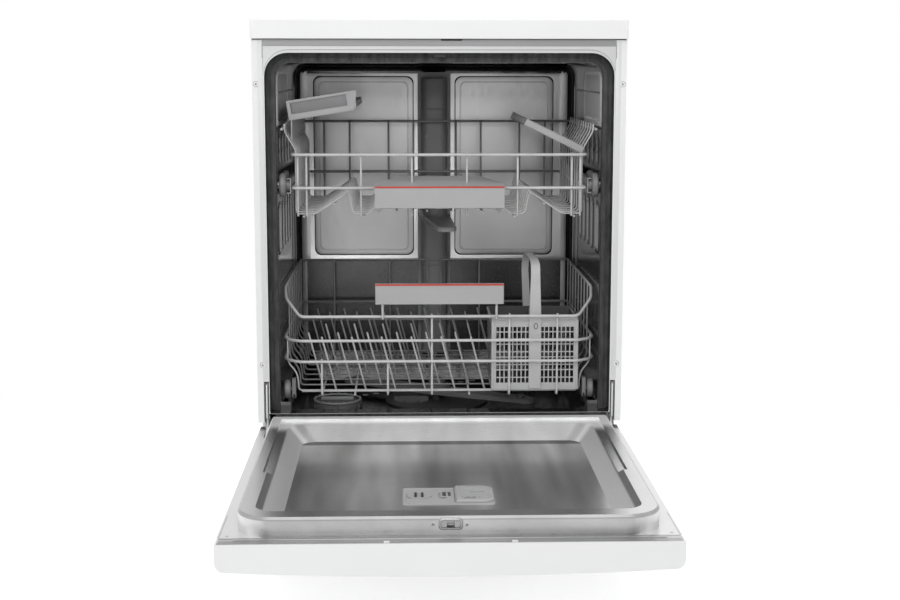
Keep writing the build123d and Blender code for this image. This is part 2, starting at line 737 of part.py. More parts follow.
def upper_rack_handle():
    low = upper_mid_z - 31.5
    high = upper_mid_z + 3.5
    outline = [(15, low), (15, high), (60, high + 14), (60, high + 11), (19, high - 2.5), (19, low)]
    body = upright_plate(outline, -handle_half + 0.5, handle_half - 0.5)
    plan = [(-handle_half, 10), (handle_half, 10), (handle_half, 28), (64, 62), (-64, 62), (-handle_half, 28)]
    body = body & flat_plate(plan, low - 5, high + 20)
    for side in (-1, 1):
        x0, x1 = sorted((side * (handle_half - 0.5), side * (handle_half - 4)))
        body += block(x0, x1, 15, 27, low, high)
        x = side * 45
        body -= block(x - 2.3, x + 2.3, front_wire_y - 2.3, front_wire_y + 2.3, low, high + 20)
    body += block(-90, 90, 19, 27, high - 6, high - 3)
    return body


def upper_rack_rails():
    x0 = rail_inner_x
    top = rail_z + rail_height
    rail = block(x0, x0 + rail_sheet, rack_front_y, rail_back_y, rail_z, top)
    for z0 in (rail_z, top - rail_sheet):
        rail += block(x0, x0 + rail_depth, rack_front_y, rail_back_y, z0, z0 + rail_sheet)
    rail += block(x0, x0 + rail_depth, rail_back_y - rail_sheet, rail_back_y, rail_z, top)
    return both(rail)


def shelf_plate(width, depth, rim, first_x):
    """A cup shelf with long slots, drawn level: its hinge edge at X = 0, its free edge at X = width."""
    plate = block(0, width, 0, depth, 0, 4) + block(0, width, 0, 3.5, -2, rim)
    plate += block(0, width, depth - 3.5, depth, -2, 10) + block(width - 4, width, 0, depth, -2, 8)
    plate += block(0, 4, 0, depth, -2, 8)
    count = 4
    pitch = (depth - 20) / count
    for k in range(count):
        for x0, x1 in ((first_x, first_x / 2 + width / 2 - 9), (first_x / 2 + width / 2 - 1, width - 10)):
            plate -= block(x0, x1, 12 + k * pitch, 12 + k * pitch + pitch - 10, -3, 5)
    return plate


def cup_shelf(rest_angle, width, axis_x, axis_z, out_x, out_z, rim, notch=0):
    """A shelf at the right-hand side, its knuckles closed round a wire of the rack."""
    plate = shelf_plate(width, 330, rim, max(10, notch + 4))
    for k in range(upper_rows - 1 if notch else 0):
        y = upper_first_y - shelf_front_y + k * upper_pitch
        plate -= block(-1, notch, y - wire_r - 1.6, y + wire_r + 1.6, -3, rim + 1)
    plate = Pos(axis_x - out_x, shelf_front_y, axis_z + out_z) * Rot(0, rest_angle, 0) * mirrored(plate)
    bore = rim_wire_r / math.cos(math.pi / 8) + 0.1
    for k in (1, 5, 8):
        y = upper_first_y + (k + 0.5) * upper_pitch
        knuckle = peg(axis_x, y - 4, y + 4, axis_z, bore + knuckle_wall)
        knuckle += bar([(axis_x, y, axis_z), (axis_x - out_x - 1, y, axis_z + out_z + 2)], 3, 4)
        plate += knuckle
    for k in (1, 5, 8):
        y = upper_first_y + (k + 0.5) * upper_pitch
        plate -= peg(axis_x, y - 8, y + 8, axis_z, bore)
    return plate


def cup_shelf_right():
    return cup_shelf(26, 100, upper_side_x, upper_top_z, 9, 6, 8, shelf_notch)


def cup_shelf_left():
    shelf = cup_shelf(9, 112, upper_rail_x(), upper_comb_top_z - 7, 12, 20, 26)
    return mirrored(shelf)


def lower_hoops():
    return [36 + wire_r + lower_pitch / 2 + k * lower_pitch for k in range(lower_rows)]


def lower_rack_frame():
    y = rack_front_y
    side = lower_side_x
    back = lower_back_y
    inner = side - lower_corner + 7
    wires = [bar([(-inner, y, lower_front_z), (inner, y, lower_front_z)], rim_wire_r)]
    corner = [(inner + weld_gap, y, lower_front_z), (side - 3, y + lower_corner, lower_front_z + 25),
              (side, y + 62, lower_top_z), (side, back, lower_top_z)]
    wires += both(bar(corner, rim_wire_r))
    for z in (lower_second_z, lower_third_z):
        wires.append(bar([(-inner, y, z), (inner, y, z)], rim_wire_r))
        turn = [(inner + weld_gap, y, z), (side - 10, y + 14, z)]
        turn += [(side, y + lower_corner, z), (side, back, z)]
        wires += both(bar(turn, rim_wire_r))
    end = back + rim_wire_r + weld_gap
    for z in (lower_top_z, lower_second_z, lower_third_z):
        wires.append(bar([(-side, end, z), (side, end, z)], rim_wire_r))
    for x, top in ((-195.5, lower_third_z), (-86, lower_third_z), (-12.6, lower_front_z),
                   (116.3, lower_front_z), (196, lower_front_z)):
        wires.append(bar([(x, front_wire_y, lower_runner_z - 3), (x, front_wire_y, top + 4)], wire_r))
    for x in (193, 86, 12.6):
        upright = [(x, back - wire_r, lower_runner_z - 3), (x, back - wire_r, lower_top_z + 3)]
        wires += both(bar(upright, wire_r))
    for x in (-94, 94):
        leg_y = y - rim_wire_r - 2 - weld_gap
        wires.append(bar([(x, leg_y, lower_front_z - 4), (x, leg_y, lower_front_z + 48)], 2))
    for y in lower_hoops():
        top = lower_top_z + 3 if y > rack_front_y + 66 else lower_second_z + 4
        foot_x = side - 21.95
        line = [(side_wire_x, y, top), (side_wire_x, y, 282), (foot_x + 3, y, 264), (foot_x, y, 247),
                (foot_x, y, lower_floor_z + wire_r + weld_gap)]
        wires += both(bar(line, wire_r, 6, Vector(0, 1, 0)))
    return wires


def lower_rack_floor():
    wires = []
    end = lower_side_x - 19.95
    for y in lower_hoops():
        wires.append(bar([(-end, y, lower_floor_z), (end, y, lower_floor_z)], wire_r))
    front = front_wire_y + wire_r + weld_gap
    back = lower_back_y - 2 * wire_r - weld_gap
    for x in (-195.5, -141, -86, -12.6, 50, 116.3, 196):
        wires.append(bar([(x, front, lower_runner_z), (x, back, lower_runner_z)], wire_r))
    hoops = lower_hoops()
    foot = lower_floor_z - wire_r
    for row, hoop in enumerate((0, 1, 3, 4, 6, 7)):
        y = hoops[hoop] + 2 * wire_r + weld_gap
        first = -173 if row % 2 == 0 else -198
        count = 6 if hoop < 3 else 8
        for k in range(count):
            x = first + k * tine_pitch
            tip = (x - tine_lean * tine_height, y, foot + tine_height)
            wires.append(bar([(x, y, foot), tip], wire_r, 6, Vector(0, 1, 0)))
    return wires


def lower_rack_handle():
    low = lower_front_z + 22
    high = lower_front_z + 55
    body = block(-handle_half, handle_half, 20, 33, low, high)
    body = fillet(body.edges().filter_by(Axis.Z), 3)
    body -= block(-84, 84, 24, 34, low + 4, high - 4)
    for x in (-94, 94):
        body -= post(x, rack_front_y - rim_wire_r - 2 - weld_gap, low - 1, lower_front_z + 49, 2.35)
    return body


def wheel_carriers():
    carriers = []
    for y in (wheel_front_y, wheel_rear_y):
        x1 = lower_side_x - 11.75
        x0 = x1 - 6
        hub = block(x0, x1, y - 9, y + 9, 221, 255)
        hub = chamfer(hub.edges().filter_by(Axis.X), 4)
        hub -= block(x0 + 1.5, x0 + 4.5, y - 10, y + 10, 222.5, 229)
        hub += shaft(x1 - 1, x1 + 2.5 + wheel_thick + 0.9, y, wheel_z, 4)
        carriers += both(hub)
    return carriers


def rack_wheels(y):
    inner_x = lower_side_x - 9.25
    wheel = shaft(inner_x, inner_x + wheel_thick, y, wheel_z, wheel_r)
    wheel = chamfer(wheel.edges().filter_by(GeomType.CIRCLE), 1.8)
    wheel -= shaft(inner_x - 2, inner_x + wheel_thick + 2, y, wheel_z, 4 + pin_clearance)
    return both(wheel)


def cutlery_basket():
    left = basket_left_x
    right = basket_right_x
    front = basket_front_y
    back = basket_back_y
    low = lower_floor_z + wire_r + 0.3
    top = basket_top_z
    wall = basket_wall
    middle = (left + right) / 2
    body = block(left, right, front, back, low, top)
    body += block(left - 2, right, front - 2, back + 2, top - 5, top - 1)
    for x0, x1 in ((left + wall, middle - wall / 2), (middle + wall / 2, right - wall)):
        body -= block(x0, x1, front + wall, back - wall, low + wall, top + 1)
    windows = ((left + 8, middle - 9.5), (middle + 9.5, right - 8))
    z0 = low + 12
    rise = (top - 15 - z0) / basket_levels
    for x0, x1 in windows:
        pitch = (x1 - x0) / basket_columns
        for column in range(basket_columns):
            x = x0 + column * pitch
            for level in range(basket_levels):
                z = z0 + level * rise
                body -= block(x + 1.5, x + pitch - 1.5, front - 1, back + 1, z + 1.5, z + rise - 1.5)
    strap = upright_plate(strap_outline(front, back, low, top), middle - 10, middle + 10)
    return body + strap


def strap_outline(front, back, low, top):
    rise = top + 96
    shoulder = top + 80
    outer = [(front - 1.5, low + 3), (front - 1.5, shoulder), (front + 18, rise), (back - 18, rise),
             (back + 1.5, shoulder), (back + 1.5, low + 3)]
    inner = [(back - 0.5, low + 3), (back - 1.5, shoulder - 2), (back - 20, rise - 3), (front + 20, rise - 3),
             (front + 1.5, shoulder - 2), (front + 0.5, low + 3)]
    return outer + inner


def door_outer_panel():
    outer = cabinet_half
    y0 = fascia_rear_y + 1
    y1 = door_rear_y
    z0 = door_outer_z
    panel = block(-outer, outer, y0, y1, z0, door_face_z)
    panel = fillet(panel.edges().filter_by(Axis.Y).group_by(Axis.Z)[0], 4)
    panel -= block(-outer + sheet, outer - sheet, y0 - 1, y1 - sheet, z0 + sheet, door_face_z - sheet)
    panel -= block(-262, 262, y0 - 1, y1 + 1, door_face_z - 2, door_face_z + 1)
    panel -= block(-outer - 1, outer + 1, -36, y1 - 12, door_face_z - sheet - 0.1, door_face_z + 1)
    panel -= block(-outer - 1, outer + 1, y1 - 20, y1 + 1, door_face_z - 6, door_face_z + 1)
    return panel


def fascia_section(inset):
    half = cabinet_half - inset
    edge = door_face_z - fascia_rise + inset
    top = door_face_z - inset
    line = Polyline((half, edge), (half, top), (-half, top), (-half, edge))
    line += ThreePointArc((-half, edge), (0, edge - fascia_bow), (half, edge))
    return make_face(line)


def control_fascia():
    length = fascia_height - 0.3
    front = -door_reach
    section = fascia_section(0)
    section = fillet(section.vertices().group_by(Axis.Y)[0], 12)
    body = Pos(0, front + length, 0) * Rot(90, 0, 0) * extrude(section, length)
    hollow = extrude(fascia_section(fascia_wall), length + 1 - fascia_wall)
    hollow = Pos(0, front + length + 1, 0) * Rot(90, 0, 0) * hollow
    body -= hollow
    deep = door_face_z - 17
    body += block(-98, 98, front + 32, front + 94, door_face_z - fascia_rise - 5, deep + 2.5)
    grip = block(-95, 95, front + 35, front + 91, door_outer_z - 30, deep)
    body -= fillet(grip.edges().filter_by(Axis.Z), 12)
    for x in button_spots():
        body -= post(x, button_y(), door_outer_z - 30, door_outer_z + 12, button_r + button_clear)
    body -= block(182, 242, button_y() - 11, button_y() + 11, door_outer_z - 30, door_outer_z + 12)
    return body


def button_spots():
    return (-150, 150, 265)


def button_y():
    return fascia_rear_y - 62


def fascia_z(x):
    return door_face_z - fascia_rise - fascia_bow * (1 - (x / cabinet_half) ** 2)


def push_button(x):
    face = fascia_z(x)
    stem = post(x, button_y(), face - button_stand, face + 8, button_r)
    collar = post(x, button_y(), face + fascia_wall + 1.6, face + 8, button_r + 2)
    return chamfer(stem.edges().filter_by(GeomType.CIRCLE).sort_by(Axis.Z)[0], 1) + collar


def display_window():
    y = button_y()
    face = fascia_z(212)
    pane = block(182 + seat, 242 - seat, y - 11 + seat, y + 11 - seat, face + 1, face + 4.2)
    return pane + block(180, 244, y - 13, y + 13, face + 3.9, face + 6)


def control_board():
    y = button_y()
    top = door_face_z - fascia_wall - seat
    box = block(118, 286, y - 26, y + 26, door_outer_z + 9, top)
    box += block(130, 140, y - 30, y + 30, top - 8, top)
    switch = block(-166, -134, y - 16, y + 16, door_outer_z + 9, top)
    return [box, switch]


def recess(grow, top_z):
    floor = recess_floor_z - grow
    y0 = recess_front_y - grow
    y1 = recess_rear_y + grow
    low_half = recess_floor_half + grow
    low = pan(-low_half, low_half, y0 + recess_front_slope, y1 - recess_rear_slope, floor, 22)
    high = pan(-recess_half - grow, recess_half + grow, y0, y1, top_z, 26)
    return loft([low, high], ruled=True)


def door_liner():
    wall = liner_wall
    top = rim_top_z
    hull = block(-rim_half, rim_half, rim_front_y, rim_rear_y, door_face_z, top)
    hull = fillet(hull.edges().filter_by(Axis.Z).group_by(Axis.Y)[0], rim_corner)
    hull = chamfer(hull.faces().sort_by(Axis.Z)[-1].edges(), 3)
    inner = rim_half - wall
    inside = block(-inner, inner, rim_front_y + wall, rim_rear_y - wall, door_face_z - 1, top - wall)
    inside = fillet(inside.edges().filter_by(Axis.Z).group_by(Axis.Y)[0], rim_corner - wall)
    inside -= recess(wall, top - wall)
    step_y = recess_front_y + 192
    inside -= block(-recess_half - 8, recess_half + 8, step_y - 2, recess_rear_y + 6, top - 5.6, top)
    shape = hull - inside - recess(0, top + 0.01)
    shape -= block(-recess_half - 6, recess_half + 6, step_y, recess_rear_y, top - 4, top + 1)
    shape -= block(-13, 14, rim_front_y - 2, rim_front_y + 4, top - 16, top - 4)
    shape -= block(dispenser_left_x + 2, dispenser_right_x - 2, dispenser_front_y + 2, dispenser_rear_y - 2,
                   recess_floor_z - 6, recess_floor_z + 3)
    return shape


def door_latch():
    back = rim_front_y + liner_wall + seat
    top = rim_top_z - liner_wall - seat
    body = block(-32, 32, back, back + 23, door_face_z + seat, top)
    body -= block(-14, 15, back - 1, back + 20, door_face_z + 5, top - 2)
    return body + shaft(-15, 16, back + 14, door_face_z + 9, 1.5)


def latch_hook():
    back = rim_front_y + liner_wall + seat
    low = door_face_z + 9
    outline = [(back + 10.5, low - 3), (back + 17.5, low - 3), (back + 17.5, low + 3), (back + 9, low + 9),
               (back + 2, low + 9), (back + 2, low + 5), (back + 5, low + 5), (back + 10.5, low + 1)]
    hook = upright_plate(outline, -4, 5)
    return hook - shaft(-5, 6, back + 14, low, 1.5 + pin_clearance)


def detergent_dispenser():
    top = recess_floor_z + dispenser_stand
    x0 = dispenser_left_x
    x1 = dispenser_right_x
    y0 = dispenser_front_y
    y1 = dispenser_rear_y
    rim = block(x0, x1, y0, y1, recess_floor_z + 0.1, top)
    rim = fillet(rim.edges().filter_by(Axis.Z), 6)
    body = block(x0 + 2.3, x1 - 2.3, y0 + 2.3, y1 - 2.3, recess_floor_z - 28, top - 0.5)
    shape = rim + body
    shape -= block(lid_left_x + 5, x1 - 7, y0 + 8, y1 - 8, recess_floor_z - 24, top + 1)
    shape -= post(x0 + 23, (y0 + y1) / 2, top - 4, top + 1, 17.4)
    shape += post(x0 + 23, (y0 + y1) / 2, top - 5, top - 0.8, 4)
    shape -= block(-12, -1, y0 + 26, y1 - 26, top - 2, top + 1)
    return shape


def detergent_lid():
    z = recess_floor_z + dispenser_stand + 0.25
    right = dispenser_right_x - 1.5
    lid = block(lid_left_x, right, dispenser_front_y + 3, dispenser_rear_y - 3, z, z + lid_thick)
    lid = fillet(lid.edges().filter_by(Axis.Z).group_by(Axis.X)[-1], 14)
    lid = chamfer(lid.faces().sort_by(Axis.Z)[-1].edges(), 1.2)
    grip_y = dispenser_front_y + 12
    return lid - block(lid_left_x + 10, lid_left_x + 26, grip_y, grip_y + 6, z + 1.8, z + 9)


def rinse_aid_cap():
    z = recess_floor_z + dispenser_stand
    x = dispenser_left_x + 23
    y = (dispenser_front_y + dispenser_rear_y) / 2
    cap = post(x, y, z - 3.7, z + 0.8, 17) - post(x, y, z - 4, z - 0.5, 4.3)
    for side in (-1, 1):
        cap -= block(x + side * 4 - 1.5, x + side * 4 + 1.5, y - 9, y + 9, z - 0.3, z + 2)
    return cap


def main():
    os.makedirs("parts", exist_ok=True)
    save("worktop", worktop())
    panel = side_panel()
    save("side_panel_right", panel)
    save("side_panel_left", mirrored(panel))
    save("front_screws", front_screws())
    save("rear_panel", rear_panel())
    save("front_crossbar", front_crossbar())
    save("tub", tub())
    save("tub_gasket", tub_gasket())
    save("lip_seal", lip_seal())
    save("feed_channel", feed_channel())
    save("base_tray", base_tray())
    save("plinth", plinth())
    save("foot_front_left", adjustable_foot(-foot_x, foot_front_y))
    save("foot_front_right", adjustable_foot(foot_x, foot_front_y))
    save("foot_rear_left", adjustable_foot(-foot_x, foot_rear_y))
    save("foot_rear_right", adjustable_foot(foot_x, foot_rear_y))
    save("hinge_brackets", hinge_brackets())
    save("hinge_arms", hinge_arms())
    save("door_strike", door_strike())
    save("sump", sump())
    save("filter_cup", filter_cup())
    save("softener", softener())
    save("salt_cap", salt_cap())
    save("circulation_pump", circulation_pump())
    save("drain_pump", drain_pump())
    save("inlet_valve", inlet_valve())
    save("drain_spigot", drain_spigot())
    save("power_inlet", power_inlet())
    save("front_rollers", tub_roller(roller_y))
    save("rear_rollers", tub_roller(roller_y + roller_gap))
    save("roller_axles", roller_axles())
    save("lower_spray_arm", lower_spray_arm())
    save("upper_spray_arm", upper_spray_arm())
    save("feed_pipe", feed_pipe())
    save("upper_rack_frame", upper_rack_frame())
    save("upper_rack_floor", upper_rack_floor())
    save("upper_rack_handle", upper_rack_handle())
    save("upper_rack_rails", upper_rack_rails())
    save("cup_shelf_left", cup_shelf_left())
    save("cup_shelf_right", cup_shelf_right())
    save("lower_rack_frame", lower_rack_frame())
    save("lower_rack_floor", lower_rack_floor())
    save("lower_rack_handle", lower_rack_handle())
    save("wheel_carriers", wheel_carriers())
    save("front_wheels", rack_wheels(wheel_front_y))
    save("rear_wheels", rack_wheels(wheel_rear_y))
    save("cutlery_basket", cutlery_basket())
    save("door_outer_panel", door_outer_panel())
    save("control_fascia", control_fascia())
    save("display_window", display_window())
    save("control_board", control_board())
    for name, x in zip(("power_button", "programme_button", "start_button"), button_spots()):
        save(name, push_button(x))
    save("door_liner", door_liner())
    save("door_latch", door_latch())
    save("latch_hook", latch_hook())
    save("detergent_dispenser", detergent_dispenser())
    save("detergent_lid", detergent_lid())
    save("rinse_aid_cap", rinse_aid_cap())


main()
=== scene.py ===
import bpy
import bmesh
import json
import math
from mathutils import Vector, Matrix


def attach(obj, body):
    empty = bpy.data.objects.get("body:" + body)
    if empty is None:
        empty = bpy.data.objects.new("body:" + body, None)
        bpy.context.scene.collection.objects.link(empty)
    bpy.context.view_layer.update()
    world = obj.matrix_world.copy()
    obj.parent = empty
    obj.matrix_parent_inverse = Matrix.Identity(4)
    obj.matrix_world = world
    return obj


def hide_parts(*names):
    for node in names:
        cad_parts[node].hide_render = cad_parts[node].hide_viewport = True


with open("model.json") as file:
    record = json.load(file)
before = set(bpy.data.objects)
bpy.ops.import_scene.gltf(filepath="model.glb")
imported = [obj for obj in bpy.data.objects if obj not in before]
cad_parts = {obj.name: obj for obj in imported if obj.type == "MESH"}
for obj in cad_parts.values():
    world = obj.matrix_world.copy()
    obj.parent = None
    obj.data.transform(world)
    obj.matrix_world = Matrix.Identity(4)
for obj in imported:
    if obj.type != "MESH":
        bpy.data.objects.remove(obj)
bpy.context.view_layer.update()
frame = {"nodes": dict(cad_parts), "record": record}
nodes = frame["nodes"]
print("frame loaded:", len(nodes), "nodes")

# Sizes are written in millimetres from the cabinet's front plane; at() turns them into metres.
frontPlane = 17.5


def at(x, y, z):
    return Vector((x / 1000, (y + frontPlane) / 1000, z / 1000))


# ---- camera, floor and light

photoCamera = {"place": (-57.0, -2426.3, 769.1), "turnRight": 1.731, "tiltDown": 8.759, "roll": 0.042,
               "lens": 60.24, "sensor": 36, "clip": (0.05, 60)}


def makeCamera(c):
    data = bpy.data.cameras.new("photoCamera")
    data.lens = c["lens"]
    data.sensor_width = c["sensor"]
    data.clip_start, data.clip_end = c["clip"]
    camera = bpy.data.objects.new("photoCamera", data)
    bpy.context.scene.collection.objects.link(camera)
    turn = Matrix.Rotation(-math.radians(c["turnRight"]), 4, "Z")
    tilt = Matrix.Rotation(math.radians(90 - c["tiltDown"]), 4, "X")
    roll = Matrix.Rotation(math.radians(c["roll"]), 4, "Z")
    camera.matrix_world = Matrix.Translation(at(*c["place"])) @ turn @ tilt @ roll
    bpy.context.scene.camera = camera


def addNode(tree, kind, inputs=None, **values):
    # inputs gives, by name or number, a value or the output that feeds it
    node = tree.nodes.new(kind)
    for key, value in values.items():
        setattr(node, key, value)
    for key, value in (inputs or {}).items():
        if isinstance(value, bpy.types.NodeSocket):
            tree.links.new(value, node.inputs[key])
        else:
            node.inputs[key].default_value = value
    return node


def newTree(owner):
    owner.use_nodes = True
    owner.node_tree.nodes.clear()
    return owner.node_tree


def calc(tree, operation, *terms):
    return addNode(tree, "ShaderNodeMath", dict(enumerate(terms)), operation=operation).outputs[0]


def whiteToEye(tree):
    # 1 for what the camera, a mirror or glass sees, 0 for the light that falls on the object
    path = addNode(tree, "ShaderNodeLightPath").outputs
    seen = calc(tree, "MAXIMUM", path["Is Camera Ray"], path["Is Glossy Ray"])
    return calc(tree, "MAXIMUM", seen, path["Is Transmission Ray"])


def rangeOf(tree, source, low, high, fromLow=0.3, fromHigh=0.7):
    inputs = {"Value": source, "From Min": fromLow, "From Max": fromHigh, "To Min": low, "To Max": high}
    return addNode(tree, "ShaderNodeMapRange", inputs).outputs["Result"]


studio = {"ambient": 0.4, "floorColour": 0.82, "floorGlow": 0.6, "floorReach": 9, "shadowReach": (0.75, 1.5)}
# a wide front box, a box overhead, a weaker one at each side and one behind
lamps = {
    "frontBox": {"place": (-0.5, -3.4, 2.1), "aim": (0, 0, 0.42), "size": (2.6, 1.8), "watts": 50},
    "topBox": {"place": (0, -0.5, 2.9), "aim": (0, 0, 0.3), "size": (2.4, 2.4), "watts": 20},
    "leftBox": {"place": (-2.8, -0.9, 1.3), "aim": (0, 0, 0.4), "size": (1.4, 1.8), "watts": 12},
    "rightBox": {"place": (2.8, -0.6, 1.3), "aim": (0, 0, 0.4), "size": (1.4, 1.8), "watts": 12},
    "backBox": {"place": (0.4, 3.2, 1.8), "aim": (0, 0, 0.4), "size": (2.2, 1.6), "watts": 14},
}


def makeStudio(s):
    world = bpy.data.worlds.new("studio")
    bpy.context.scene.world = world
    tree = newTree(world)
    plain, white = (addNode(tree, "ShaderNodeBackground", {"Color": (1, 1, 1, 1), "Strength": level}).outputs[0]
                    for level in (s["ambient"], 1))
    mix = addNode(tree, "ShaderNodeMixShader", {0: whiteToEye(tree), 1: plain, 2: white})
    addNode(tree, "ShaderNodeOutputWorld", {"Surface": mix.outputs[0]})

    # near the object the floor is lit and takes its shadow; further out it is the backdrop's white
    material = bpy.data.materials.new("paleFloor")
    tree = newTree(material)
    eye = whiteToEye(tree)
    coords = addNode(tree, "ShaderNodeTexCoord")
    distance = addNode(tree, "ShaderNodeVectorMath", {0: coords.outputs["Object"]}, operation="LENGTH")
    far = rangeOf(tree, distance.outputs["Value"], 0, 1, *s["shadowReach"])
    matt = addNode(tree, "ShaderNodeBsdfDiffuse", {"Color": (s["floorColour"],) * 3 + (1,)})
    glow = addNode(tree, "ShaderNodeEmission", {"Strength": calc(tree, "MULTIPLY", eye, s["floorGlow"])})
    near = addNode(tree, "ShaderNodeAddShader", {0: matt.outputs[0], 1: glow.outputs[0]})
    plainWhite = addNode(tree, "ShaderNodeEmission", {"Strength": 1})
    seenFar = calc(tree, "MULTIPLY", far, eye)
    mix = addNode(tree, "ShaderNodeMixShader", {0: seenFar, 1: near.outputs[0], 2: plainWhite.outputs[0]})
    addNode(tree, "ShaderNodeOutputMaterial", {"Surface": mix.outputs[0]})
    mesh = bpy.data.meshes.new("studioFloor")
    reach = s["floorReach"]
    corners = [(-reach, -reach, 0), (reach, -reach, 0), (reach, reach, 0), (-reach, reach, 0)]
    mesh.from_pydata(corners, [], [(0, 1, 2, 3)])
    mesh.materials.append(material)
    floor = bpy.data.objects.new("studioFloor", mesh)
    bpy.context.scene.collection.objects.link(floor)

    for name, lamp in lamps.items():
        data = bpy.data.lights.new(name, "AREA")
        data.shape = "RECTANGLE"
        data.size, data.size_y = lamp["size"]
        data.energy = lamp["watts"]
        box = bpy.data.objects.new(name, data)
        bpy.context.scene.collection.objects.link(box)
        box.location = lamp["place"]
        box.rotation_euler = (Vector(lamp["aim"]) - Vector(lamp["place"])).to_track_quat("-Z", "Y").to_euler()
    bpy.context.scene.view_settings.view_transform = "Standard"


makeCamera(photoCamera)
makeStudio(studio)
print("camera and studio made")

# ---- finishes


def noiseOf(tree, scale, detail=2.0, stretch=(1, 1, 1), roughness=0.5):
    coords = addNode(tree, "ShaderNodeTexCoord").outputs["Object"]
    mapping = addNode(tree, "ShaderNodeMapping", {"Vector": coords, "Scale": stretch}).outputs[0]
    inputs = {"Vector": mapping, "Scale": scale, "Detail": detail, "Roughness": roughness}
    return addNode(tree, "ShaderNodeTexNoise", inputs).outputs["Fac"]


def mixOf(tree, factor, below, above, **values):
    # a colour is three numbers or the socket that it comes from
    pair = [part if isinstance(part, bpy.types.NodeSocket) else (*part, 1) for part in (below, above)]
    inputs = {0: factor, 6: pair[0], 7: pair[1]}
    return addNode(tree, "ShaderNodeMix", inputs, data_type="RGBA", **values).outputs[2]


def bumpFrom(tree, height, strength, distance):
    inputs = {"Height": height, "Strength": strength, "Distance": distance}
    return addNode(tree, "ShaderNodeBump", inputs).outputs["Normal"]


def splitOf(tree, kind):
    return addNode(tree, "ShaderNodeSeparateXYZ", {0: addNode(tree, "ShaderNodeTexCoord").outputs[kind]}).outputs


def surfaceOf(tree, inputs):
    shader = addNode(tree, "ShaderNodeBsdfPrincipled", inputs)
    addNode(tree, "ShaderNodeOutputMaterial", {"Surface": shader.outputs[0]})


def finish(name, colour, rough, vary, mottle, grain, metal=0.0, grainDepth=0.00004, grainStrength=0.25,
           stretch=(1, 1, 1), roughVary=0.06, coat=0.0, specular=0.5, slowStretch=(1, 1, 1), rise=None):
    # one finish: a slow change of tone, a fine grain that lifts the surface, and a change of gloss
    material = bpy.data.materials.new(name)
    tree = newTree(material)
    low = tuple(max(0, c * (1 - vary)) for c in colour)
    high = tuple(min(1, c * (1 + vary)) for c in colour)
    tone = mixOf(tree, rangeOf(tree, noiseOf(tree, mottle, 3.0, slowStretch), 0, 1), low, high)
    if rise:
        # a painted highlight: a paler tone from one height to another
        tone = mixOf(tree, rangeOf(tree, splitOf(tree, "Object")["Z"], 0, 1, *rise["heights"]), tone, rise["colour"])
    fine = noiseOf(tree, grain, 2.0, stretch)
    surfaceOf(tree, {
        "Base Color": tone, "Roughness": rangeOf(tree, fine, rough - roughVary, rough + roughVary),
        "Normal": bumpFrom(tree, fine, grainStrength, grainDepth), "Metallic": metal,
        "Specular IOR Level": specular, "Coat Weight": coat, "Coat Roughness": 0.12})
    return material


def grey(level, blue=0):
    return (level, level, level + blue)


def sheet(name, colour, rough, metal, vary, mottle, grain=300, **more):
    # pressed sheet, with a shallower and finer grain than the moulded pieces
    rest = {"grainDepth": 0.00001, "grainStrength": 0.05, "roughVary": 0.04, **more}
    return finish(name, colour, rough, vary, mottle, grain, metal, **rest)


